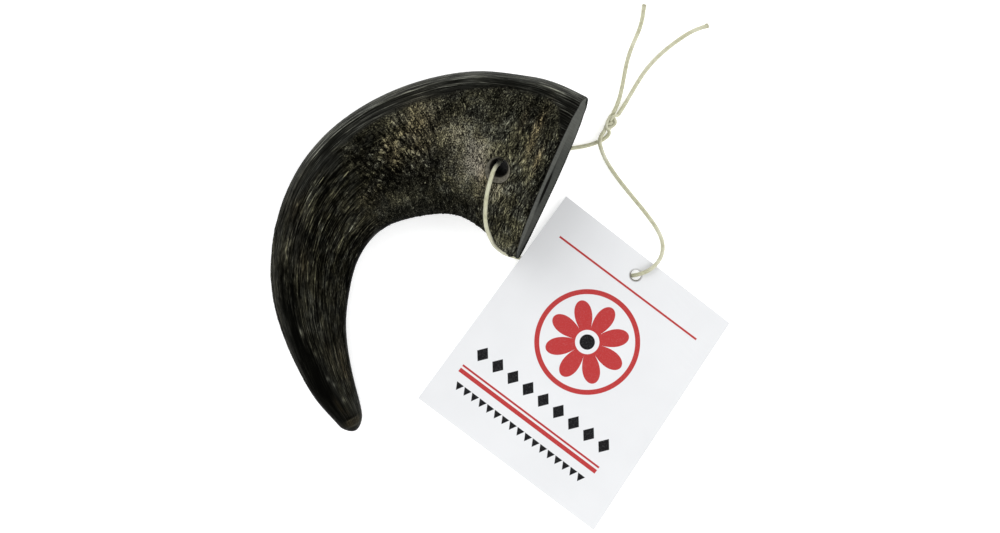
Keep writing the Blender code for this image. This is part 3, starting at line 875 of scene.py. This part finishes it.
# how far the surface stands out or lies in, in mm
ridged = 1 - 2.2 * np.abs(fibres)
ridged_fine = 1 - 2.2 * np.abs(fine_fibres)
relief = base_zone * (0.17 * growth_lines + 0.10 * growth_fine + 0.16 * grains)
relief += limb_zone * (0.20 * (ridged - 0.55) + 0.11 * (ridged_fine - 0.55) + 0.07 * grains)
relief += flaky_zone * (0.34 * np.clip(flake_edge * 2.6, 0, 1) - 0.26 * flake_tilt - 0.10)
relief = relief * (1 - 0.93 * smooth_zone) * (1 - 0.45 * np.clip(worn, 0, 1))
relief += 0.10 * broad * (1 - smooth_zone)
keel_lines = noise_at(grown, (40, 0.55, 0.55), 53.0)
relief += 0.10 * keel_lines * keel_zone
from_inner = (side + 1.0) * half_mm
torn = np.exp(-(((s_mm - 2.9) / 0.9) ** 2) - (from_inner / 1.3) ** 2)
beside_inner = (side + 0.95) * half_mm
torn = np.maximum(torn, 0.8 * np.exp(-(((s_mm - 1.4) / 0.6) ** 2) - (beside_inner / 0.9) ** 2))
relief += 0.95 * torn * upper
fringe = np.exp(-(((s_mm - 7.3) / 4.2) ** 4) - (from_inner / 2.0) ** 2)
relief += (1.12 + 0.25 * growth_fine) * fringe
second_keel = 1.0 + 1.95 * np.exp(-s_mm / 7.5) + 0.45 * np.exp(-s_mm / 30)
second_ridge = 0.28 * np.exp(-(((from_keel - second_keel) / 0.17) ** 2))
relief += second_ridge * upper * (1 - smooth_step(22, 34, s_mm))
from_crease = np.abs(s_mm - 157.2 - 2.2 * side ** 2 + 0.6 * broad)
crease = 0.10 * np.exp(-((from_crease / 0.45) ** 2))
relief -= crease * upper * smooth_step(0.5, 0.0, side)
relief = relief * smooth_step(place["length"] - 0.1, place["length"] - 3.5, s_mm)

along_way = np.gradient(horn_points, axis=0)
round_way = np.roll(horn_points, -1, axis=1) - np.roll(horn_points, 1, axis=1)
outward = unit(np.cross(round_way, along_way))
if (outward * (horn_points - horn_points.mean(1)[:, None])).sum() < 0:
    outward = -outward
face_normal = np.array(face_through)
outward[0] -= (outward[0] @ face_normal)[:, None] * face_normal
horn_points = horn_points + relief[:, :, None] * MM * outward
horn_points[:, :, 2] = np.maximum(horn_points[:, :, 2], 0)

# how far each point stands out; the skin's colour reads it to paint shade into the hollows
raised = np.clip(0.5 + relief / 0.36, 0, 1)

# where strands and chips may lift, clear of the cuts, and which way they lie
clear_of_cuts = smooth_step(1.0, 2.2, s_mm) * smooth_step(place["length"] - 3, place["length"] - 7, s_mm)
clear_of_cuts = clear_of_cuts * (np.linalg.norm(horn_points - np.array(BORE_TOP), axis=2) > 5.2 * MM)
clear_of_cuts = clear_of_cuts * (np.linalg.norm(horn_points - np.array(BORE_BOTTOM), axis=2) > 5.2 * MM)
clear_of_cuts = clear_of_cuts * np.clip(1 - 1.2 * smooth_zone, 0, 1) * (horn_points[:, :, 2] > 0.7 * MM)
strand_chance = limb_zone * clear_of_cuts * smooth_step(-0.35, 0.35, patchy)
chip_chance = clear_of_cuts * (base_zone * (0.35 + 0.65 * flaky_zone)) * (1 - 0.6 * np.clip(worn, 0, 1))
chip_lean = (0.55 * np.sign(patchy) * (1 - flaky_zone) - 0.75 * flaky_zone)[:, :, None]
chip_way = unit(round_way) + chip_lean * unit(along_way)

# the sawn face: the edge is drawn in by small even steps, then closed flat
edge = horn_points[0]
inward_way = unit(np.cross(np.roll(edge, -3, axis=0) - np.roll(edge, 3, axis=0), face_normal))
if (inward_way * (edge.mean(0) - edge)).sum() < 0:
    inward_way = -inward_way
face_out = face_normal * (1 if face_normal @ (horn_points[5].mean(0) - horn_points[0].mean(0)) < 0 else -1)
face_rings = [edge + inward_way * inset * MM + face_out * out * MM for inset, out in FACE_INSETS_MM]
last_inset = face_rings[-1]
face_rings += [last_inset + share * (last_inset.mean(0) - last_inset) for share in FACE_SHARES]

verts = np.concatenate([horn_points.reshape(-1, 3), *face_rings, horn_tip[None]])
numbers = np.arange(len(verts) - 1).reshape(-1, HORN_POINTS_ROUND)
numbers = np.vstack([numbers[: HORN_SECTIONS - 1 : -1], numbers[:HORN_SECTIONS]])
near, far, last = numbers[:-1], numbers[1:], numbers[-1]
quads = np.stack([near, np.roll(near, -1, axis=1), np.roll(far, -1, axis=1), far], axis=-1).reshape(-1, 4)
triangles = np.stack([last, np.roll(last, -1), np.full(HORN_POINTS_ROUND, len(verts) - 1)], axis=-1)
horn_mesh = bpy.data.meshes.new("horn_body")
horn_mesh.from_pydata(verts.tolist(), [], [numbers[0][::-1].tolist(), *quads.tolist(), *triangles.tolist()])
facing = bmesh.new()
facing.from_mesh(horn_mesh)
bmesh.ops.recalc_face_normals(facing, faces=facing.faces)
facing.to_mesh(horn_mesh)
facing.free()


def with_face(values, on_face=0.0):
    """Values on the horn's skin, carried on to the sawn face's rings and the tip point."""
    face_values = values[0] if on_face is None else np.full(HORN_POINTS_ROUND, on_face)
    return np.concatenate([values.reshape(-1), *[face_values] * len(face_rings), [values[-1].mean()]])


signed_turn = np.where(turn_round > np.pi, turn_round - 2 * np.pi, turn_round)
grown_all = np.stack([with_face(grown[:, :, i], None) for i in range(3)], axis=-1)
store(horn_mesh, "grown", grown_all * MM, "FLOAT_VECTOR")
for name, values in (
    ("raised", raised),
    ("tan", np.clip(tan, 0, 1)),
    ("worn", np.clip(worn, 0, 1)),
    ("dark", np.clip(dark, 0, 1)),
    ("smooth", smooth_zone),
    ("limb", limb_zone),
    ("flaky", flaky_zone),
    ("keel", keel_zone),
    ("chip", chip),
    ("lined", lined),
    ("from_keel", np.clip(from_keel, 0, 6)),
    ("round_way", GROWTH_RADIUS_MM * MM * turn_round),
    ("silk_way", GROWTH_RADIUS_MM * MM * signed_turn),
    ("strand_chance", strand_chance),
    ("chip_chance", chip_chance),
):
    store(horn_mesh, name, with_face(values))
for name, way in (("strand_way", along_way), ("chip_way", chip_way)):
    ways = np.stack([with_face(unit(way)[:, :, i]) for i in range(3)], axis=-1)
    store(horn_mesh, name, ways, "FLOAT_VECTOR")
rim_mm = [np.linalg.norm(ring - edge, axis=1) / MM for ring in face_rings]
inner_end = smooth_step(-0.45, -1.0, side[0])
under = (~upper[0]) * 1.0
under_width = under * (2.4 + 4.0 * inner_end) + (1 - under) * 0.35
rim_values = [1 - np.clip(distance / under_width, 0, 1) for distance in rim_mm]
store(horn_mesh, "rim", np.concatenate([np.zeros(HORN_SECTIONS * HORN_POINTS_ROUND), *rim_values, [0.0]]))
finish_numbers = np.zeros(len(horn_mesh.polygons), np.int32)
finish_numbers[: 1 + len(face_rings) * HORN_POINTS_ROUND] = 1
horn_mesh.polygons.foreach_set("material_index", finish_numbers)
horn_mesh.shade_smooth()

horn = put_in_scene("horn_body", horn_mesh)


def drill(shape):
    """A drill whose two ends spread into a cone, for the worn rims of the hole."""
    straight = (BORE_TOP - BORE_BOTTOM).length - 2 * MOUTH_DEPTH
    size = {"radius1": BORE_RADIUS, "radius2": BORE_RADIUS, "depth": straight}
    bmesh.ops.create_cone(shape, cap_ends=True, segments=64, **size)
    spread_at_end = 1 + (MOUTH_RADIUS - BORE_RADIUS) / MOUTH_DEPTH * 3 * MOUTH_DEPTH / BORE_RADIUS
    for cap in [face for face in shape.faces if abs(face.normal.z) > 0.9]:
        away = cap.normal.copy()
        grown_cap = bmesh.ops.extrude_discrete_faces(shape, faces=[cap])["faces"][0]
        bmesh.ops.scale(shape, vec=(spread_at_end, spread_at_end, 1), verts=grown_cap.verts)
        bmesh.ops.translate(shape, vec=away * 3 * MOUTH_DEPTH, verts=grown_cap.verts)


def cut_away(target, name, build, place_at):
    """Takes a cutting solid out of the target; the cut's walls get the target's third material."""
    shape = bmesh.new()
    build(shape)
    bmesh.ops.transform(shape, verts=shape.verts, matrix=place_at)
    bmesh.ops.recalc_face_normals(shape, faces=shape.faces)
    for face in shape.faces:
        face.material_index = 2
        face.smooth = True
    mesh = bpy.data.meshes.new(name)
    shape.to_mesh(mesh)
    shape.free()
    for finish in target.data.materials:
        mesh.materials.append(finish)
    tool = put_in_scene(name, mesh)
    change = target.modifiers.new(name, "BOOLEAN")
    change.operation = "DIFFERENCE"
    change.solver = "EXACT"
    change.object = tool
    drilled_through = target.evaluated_get(bpy.context.evaluated_depsgraph_get())
    left_over = bpy.data.meshes.new_from_object(drilled_through)
    target.modifiers.clear()
    target.data = left_over
    bpy.data.objects.remove(tool)


def named(tree, name, out="Fac"):
    return lay_node(tree, "ShaderNodeAttribute", out=out, attribute_name=name)


def stretched_noise(places, size_mm, detail, roughness=0.6, distortion=0.0):
    """Noise whose grains have a given size in mm along the horn, round it and through it."""
    scale = tuple(1 / (size * MM) for size in size_mm)
    mapped = lay_node(places.tree, "ShaderNodeMapping", {"Vector": places, "Scale": scale})
    return soft_noise(mapped, 1.0, detail, roughness, distortion)


def swing(noise_value, reach):
    """Noise turned into a swing of a given reach to both sides of nought."""
    return spread(noise_value, 0.25, 0.75, -reach, reach)


def gather(start, *parts):
    """A start value plus shares of other values."""
    for value, share in parts:
        start = value.by("MULTIPLY_ADD", share, start)
    return start


def blend(share, first, second):
    return lay_node(share.tree, "ShaderNodeMix", {0: share, 2: first, 3: second}, data_type="FLOAT")


def skin_tones(tone, cast):
    """The horn's colour at a tone from 0 to 1.25, under a cast."""
    tones = lay_node(tone.tree, "ShaderNodeValToRGB", {0: tone * 0.8})
    marks = tones.socket.node.color_ramp.elements
    marks.remove(marks[1])
    for stop, (at, light) in enumerate(SKIN_TONES):
        mark = marks[0] if stop == 0 else marks.new(at)
        mark.color = (light, light, light, 1)
    return tint(1.0, tones, cast, "MULTIPLY")


horn_skin, skin, skin_shader = start_material("horn_skin")
grown_place = named(skin, "grown", "Vector")
is_raised, is_tan, is_worn_and_rim_lit, is_smooth, is_limb, is_dark = (
    named(skin, name) for name in ("raised", "tan", "worn", "smooth", "limb", "dark")
)
is_flaky, is_keel, is_chip, is_lined, is_flake = (
    named(skin, name) for name in ("flaky", "keel", "chip", "lined", "flake_tone")
)
keel_way, round_horn, silk_way = (named(skin, name) for name in ("from_keel", "round_way", "silk_way"))
along_horn = lay_node(skin, "ShaderNodeSeparateXYZ", {0: grown_place})


def strokes(slant, layer, size_mm, roughness, distortion):
    """Short lines that run round the horn at a slant."""
    leant = gather(along_horn, (round_horn, slant))
    places = lay_node(skin, "ShaderNodeCombineXYZ", {0: leant, 1: round_horn, 2: layer})
    return stretched_noise(places, (*size_mm, 1000.0), 2.0, roughness, distortion)


long_strands = stretched_noise(grown_place, (12.0, 0.44, 0.44), 2.5, 0.6, 0.2)
dashes = stretched_noise(grown_place, (2.0, 0.36, 0.36), 2.0, 0.6, 0.3)
leaning = [strokes(slant, slant, (0.36, 2.0), 0.6, 0.4) for slant in (-0.42, 0.34)]
scored = strokes(0.55, 0.9, (0.85, 4.2), 0.55, 0.5)
weave = stretched_noise(grown_place, (2.0, 1.7, 1.7), 1.0, 0.5)
cross_lines = blend(spread(weave, 0.46, 0.54), *leaning)
speckle = stretched_noise(grown_place, (0.38, 0.38, 0.38), 2.0, 0.65)
chunks = stretched_noise(grown_place, (1.1, 0.9, 0.9), 3.0, 0.65, 0.6)
clouds = stretched_noise(grown_place, (8, 5, 5), 3.0, 0.55)
casts = stretched_noise(grown_place, (5, 3, 3), 2.0, 0.5)
silk_place = lay_node(skin, "ShaderNodeCombineXYZ", {0: along_horn * 75.0, 1: silk_way * 2800.0})
silk = soft_noise(silk_place, 1.0, 3.0, 0.7)

# the rough horn: crossed lines and speckle near the base, long strands down the limb
limb_grain = swing(long_strands, 0.60) + swing(dashes, 0.40)
is_scored = spread(gather(is_tan, (is_flaky, 0.5)), 0.1, 0.8)
base_grain = gather(
    swing(cross_lines, 1.0) * gather(0.20, (is_lined, 0.36)),
    (swing(speckle, 1.0), gather(0.56, (is_lined, -0.20))),
    (is_flaky, swing(chunks, 0.42)),
    (is_scored, swing(scored, 0.45)),
)
grain = blend(is_limb, base_grain, limb_grain)
rough_tone = gather(
    0.53,
    (is_limb, -0.24),
    (swing(clouds, 0.20), 1.0),
    # the tone follows the relief: painted shade in its hollows, and crests worn paler
    (is_raised - 0.5, 0.36),
    (is_worn_and_rim_lit, 0.47),
    (is_tan, 0.17),
    (is_flaky, -0.15),
    (is_dark, -0.28),
    (is_chip, 0.55),
    (is_flake, 1.0),
    (grain, gather(1.11, (is_worn_and_rim_lit, 0.26), (is_limb, -0.06))),
)

# the smooth horn: the keel with its two fine edges (the one on the ridge a painted highlight, with painted
# shade in the groove below it), the tip and the polished patches
keel_wander = swing(clouds, 0.10) + keel_way
# painted highlight along the keel's ridge, and painted shade in the groove below it
ridge_highlight = spread(abs(keel_wander - 1.03), 0.13, 0.02, soft=True) * spread(dashes, 0.35, 0.55, 0.25, 1.0)
second_line = spread(abs(keel_wander - 0.70), 0.06, 0.0, soft=True) * spread(silk, 0.45, 0.55)
groove_shade = spread(keel_wander, 1.05, 1.35, soft=True)
smooth_tone = gather(
    0.28,
    (is_keel, 0.235),
    # painted light: the keel's outermost strip made paler
    (spread(keel_way, 0.95, 0.35) * is_keel, 0.07),
    (swing(silk, 0.46), 1.0),
    (spread(silk, 0.56, 0.62) * is_keel, 0.20),
    (swing(clouds, 0.10), 1.0),
    (is_dark, -0.29),
    (is_tan, 0.22),
    (is_chip, 0.55),
    (ridge_highlight * is_keel, 0.24),
    (second_line * is_keel, 0.18),
    (groove_shade * is_keel, -0.14),
    (is_flake, 1.0),
)
tone = blend(is_smooth, rough_tone, smooth_tone)
cast = tint(spread(casts, 0.42, 0.62), OLIVE_CAST, COOL_CAST)
for share, over in (
    (is_smooth * 0.8, KEEL_CAST),
    (is_dark * 0.7, COOL_CAST),
    (is_worn_and_rim_lit, WORN_CAST),
    (is_tan, TAN_CAST),
):
    cast = tint(share, cast, over)
glossy = gather(1.0, (is_smooth, 0.5), (is_keel, -1.1), (is_dark, -0.6))
relief_share = gather(spread(is_smooth, 0.0, 1.0, 1.0, 0.12), (is_keel, 0.45))
plug(
    skin_shader,
    {
        "Base Color": skin_tones(tone, cast),
        "Roughness": spread(is_smooth, 0.0, 1.0, 0.75, 0.42) + swing(silk, 0.08),
        "Specular IOR Level": spread(tone, 0.10, 0.6, 0.005, 0.09) * glossy,
        "Specular Tint": (1.0, 0.98, 0.82, 1),
        "Normal": bumps(blend(is_smooth, grain, swing(silk, 0.5)) * relief_share, 1.0, 0.00034),
    },
)


def measured_from(tree, origin, turn, scale=(MM, MM, MM)):
    """Places on the object in mm, as seen from an origin along turned ways."""
    inputs = {"Vector": object_place(tree), "Location": tuple(origin), "Rotation": tuple(turn)}
    return lay_node(tree, "ShaderNodeMapping", inputs | {"Scale": scale}, vector_type="TEXTURE")


def apart(x, y):
    return (x**2 + y**2).by("SQRT")


sawn_horn, sawn, sawn_shader = start_material("sawn_horn")
face_turn = Matrix((face_across, face_up, face_through)).transposed().to_euler()
on_face = measured_from(sawn, face_origin, face_turn)
along_face, up_face = lay_node(sawn, "ShaderNodeSeparateXYZ", {0: on_face}, (0, 1))
inputs = {"Vector": on_face, "Scale": (2.2, 0.07, 1.0), "Rotation": (0, 0, 0.12)}
saw_marks = soft_noise(lay_node(sawn, "ShaderNodeMapping", inputs), 1.0, 4.0)
face_clouds = soft_noise(on_face, 0.16, 3.0)
slit_along, slit_up = SLIT_ALONG_CHORD / MM, SLIT_ABOVE_MIDDLE / MM
from_slit = apart((along_face - slit_along) / 13.0, (up_face - slit_up) / 3.4)
# painted shade: a black patch a little larger than the cut slit, for the shade inside it
from_slit_shade = apart((along_face - slit_along) / 5.6, (up_face - (slit_up - 0.3)) / 2.1)
lower_strip = spread(up_face, slit_up + 0.4, slit_up - 0.9) * spread(along_face, 17.0, 9.0)
seam = spread(abs(up_face - slit_up), 0.9, 0.2) * spread(along_face, 15.0, 4.0)
face_coat = tint(spread(saw_marks, 0.3, 0.7), SAWN_SHADE, SAWN_GREY)
for share, over in (
    (spread(face_clouds, 0.45, 0.75, 0.0, 0.5), SAWN_PALE),
    (lower_strip * 0.42, SAWN_DARK),
    (spread(from_slit, 1.0, 0.35, 0.0, 0.5, soft=True), SAWN_DARK),
    (seam * spread(along_face, -15.0, -9.0) * 0.6, SAWN_DARK),
    (spread(from_slit_shade, 1.15, 0.85, 0.0, 0.95), SLIT_SHADE_BLACK),
    (spread(named(sawn, "rim"), 0.05, 0.45, 0.0, 0.9), SAWN_DARK),
):
    face_coat = tint(share, face_coat, over)
plug(
    sawn_shader,
    {
        "Base Color": face_coat,
        "Roughness": 0.85,
        "Specular IOR Level": 0.0,
        "Normal": bumps(saw_marks, 0.35, 0.00008),
    },
)

drilled_horn, drilled, drilled_shader = start_material("drilled_horn")
bore_middle, bore_turn = (BORE_TOP + BORE_BOTTOM) / 2, (BORE_TOP - BORE_BOTTOM).to_track_quat("Z", "Y")
in_bore = measured_from(drilled, bore_middle, bore_turn.to_euler())
from_axis = apart(*lay_node(drilled, "ShaderNodeSeparateXYZ", {0: in_bore}, (0, 1)))
wall_noise = soft_noise(in_bore, 1.3, 4.0, 0.65)
wall_share = spread(wall_noise, 0.35, 0.65)
at_mouth = spread(from_axis, 3.03, 3.5) * spread(from_axis, 5.2, 4.7)
# painted shade on the walls of the hole and the slit; the worn mouth round the hole stays paler
shaded_wall_coat, mouth_coat = tint(wall_share, BORE_SHADE_BLACK, BORE_SHADE_BROWN), tint(wall_share, MOUTH_BROWN, MOUTH_PALE)
plug(
    drilled_shader,
    {
        "Base Color": tint(at_mouth, shaded_wall_coat, mouth_coat),
        "Roughness": 0.75,
        "Specular IOR Level": 0.1,
        "Normal": bumps(wall_noise, 0.6, 0.00015),
    },
)

for finish in (horn_skin, sawn_horn, drilled_horn):
    horn_mesh.materials.append(finish)
cut_away(horn, "drill", drill, Matrix.Translation(bore_middle) @ bore_turn.to_matrix().to_4x4())
inward = face_through * (1 if face_through @ (Vector(horn_points[9].mean(0)) - face_origin) > 0 else -1)
slit_at = face_origin + SLIT_ALONG_CHORD * face_across + SLIT_ABOVE_MIDDLE * face_up - SLIT_OUTSIDE * inward
slit_turn = Matrix((face_across, face_up, inward)).transposed().to_4x4()
slit_size = Matrix.Diagonal((SLIT_LENGTH / 2, SLIT_WIDTH / 2, SLIT_DEPTH, 1))
cut_away(
    horn,
    "core_slit",
    lambda shape: bmesh.ops.create_uvsphere(shape, u_segments=40, v_segments=24, radius=1),
    Matrix.Translation(slit_at) @ slit_turn @ slit_size,
)
horn.data.set_sharp_from_angle(angle=math.radians(50))
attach(horn, "root")
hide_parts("horn")

# The lifted keratin: strands that peel off the limb and chips that stand off the rough base, all of
# the horn's own skin. They are laid on the skin as it was before the cuts, and none lies at a cut.
STRAND_RUN = ("strand_chance", "strand_way", 4.5e5, (1.6, 0.18, 0.14), (4.6, 0.36, 0.30))
CHIP_RUN = ("chip_chance", "chip_way", 6.5e5, (0.7, 0.25, 0.16), (1.9, 0.55, 0.42))

lifted_keratin = scatter(
    "lifted_keratin",
    horn_mesh,
    horn_skin,
    (*STRAND_RUN, (0.10, 0.035, 0.10), -0.10, 0.24, 11),
    (*CHIP_RUN, (0.20, 0.12, 0.35), -0.20, 0.16, 23),
)
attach(lifted_keratin, "root")
bpy.data.objects.remove(one_chip)

# The tag: a rectangle of white satin card, printed on its upper side in red and black with a plain
# ornament, and punched for the string. It lies partly on the string, so one end stands up a little.
# Places on it are in mm, over and down from its upper left corner.
TAG_CORNER = (45.6 * MM, 18.9 * MM, 0)
TAG_TURN = math.radians(-37.0)
CARD_WHITE, CARD_SHADE, CARD_HOLE_SHADE = (0.765, 0.77, 0.78), (0.735, 0.74, 0.75), (0.10, 0.085, 0.06)
PRINT_RED, PRINT_BLACK = (0.45, 0.038, 0.038), (0.004, 0.004, 0.005)
INK_EDGE_MM = 0.06
FLOWER_MIDDLE, FLOWER_PETALS = (35.3, 35.0), 8
PETAL_FROM, PETAL_REACH, PETAL_HOLE, HEART_RADIUS = 4.6, 9.6, 4.1, 2.6
RING_RADIUS, RING_HALF_WIDTH = 17.0, 0.85
PRINT_HALF_WIDTH = 28.8
RULES = ((66.5, 0.35), (68.3, 0.75), (12.2, 0.35))  # how far down, half as thick
DIAMONDS_DOWN, DIAMOND_HALF_STEP, DIAMOND_HALF_WIDTH = 59.6, 3.2, 2.3
TEETH_DOWN, TOOTH_HALF_STEP, TOOTH_HALF_WIDTH = 72.0, 1.6, 1.45
PUNCHED_HOLE = (34.8, 7.1)

printed_card, card, card_shader = start_material("printed_card")
card_place = measured_from(card, TAG_CORNER, (0, 0, TAG_TURN), (MM, -MM, MM))
over_card, down_card = lay_node(card, "ShaderNodeSeparateXYZ", {0: card_place}, (0, 1))
paper = soft_noise(card_place, 2.2, 5.0, 0.7)
card_coat = tint(spread(soft_noise(card_place, 0.05), 0.3, 0.7), CARD_SHADE, CARD_WHITE)


def inked(*distances):
    """Ink where every distance in mm is below nought, with a crisp edge."""
    furthest = distances[0]
    for distance in distances[1:]:
        furthest = furthest.by("MAXIMUM", distance)
    return spread(furthest, -INK_EDGE_MM, INK_EDGE_MM, 1.0, 0.0)


flower_x, flower_y = over_card - FLOWER_MIDDLE[0], down_card - FLOWER_MIDDLE[1]
flower_r = apart(flower_x, flower_y)
petal = abs((flower_y.by("ARCTAN2", flower_x) * (FLOWER_PETALS / 2)).by("COSINE")) ** 0.55
petals = inked(flower_r - gather(PETAL_FROM, (petal, PETAL_REACH)), gather(PETAL_HOLE, (flower_r, -1.0)))
red_ink = petals.by("MAXIMUM", inked(abs(flower_r - RING_RADIUS) - RING_HALF_WIDTH))
inside_sides = abs(flower_x) - PRINT_HALF_WIDTH
for rule_down, half_thick in RULES:
    red_ink = red_ink.by("MAXIMUM", inked(abs(down_card - rule_down) - half_thick, inside_sides))
from_diamond = flower_x.by("PINGPONG", DIAMOND_HALF_STEP) + abs(down_card - DIAMONDS_DOWN) * 0.8
tooth_y = down_card - TEETH_DOWN
from_tooth = gather(flower_x.by("PINGPONG", TOOTH_HALF_STEP), (tooth_y, 0.55))
black_ink = inked(flower_r - HEART_RADIUS)
for shape in (
    inked(from_diamond - DIAMOND_HALF_WIDTH, inside_sides),
    inked(from_tooth - TOOTH_HALF_WIDTH, tooth_y * -1.0, inside_sides + TOOTH_HALF_STEP),
):
    black_ink = black_ink.by("MAXIMUM", shape)

hole_x, hole_y = over_card - PUNCHED_HOLE[0], down_card - PUNCHED_HOLE[1]
# painted shade: the card darkened round the punched hole, most on its lower side, for the shade in and beside
# the hole
hole_shade = spread(apart(hole_x, hole_y), 2.5, 1.9) * spread(hole_y, -1.4, 0.9, 0.35, 0.95)
facing = lay_node(card, "ShaderNodeTexCoord", out="Normal")
on_top = spread(lay_node(card, "ShaderNodeSeparateXYZ", {0: facing}, 2), 0.5, 0.6)
on_top = on_top * spread(paper, 0.25, 0.5, 0.93, 1.0)
for share, over in ((red_ink * on_top, PRINT_RED), (black_ink * on_top, PRINT_BLACK), (hole_shade, CARD_HOLE_SHADE)):
    card_coat = tint(share, card_coat, over)
plug(
    card_shader,
    {
        "Base Color": card_coat,
        "Roughness": 0.42,
        "Specular IOR Level": 0.13,
        "Normal": bumps(paper, 0.25, 0.00003),
    },
)
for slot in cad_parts["tag"].material_slots:
    slot.material = printed_card
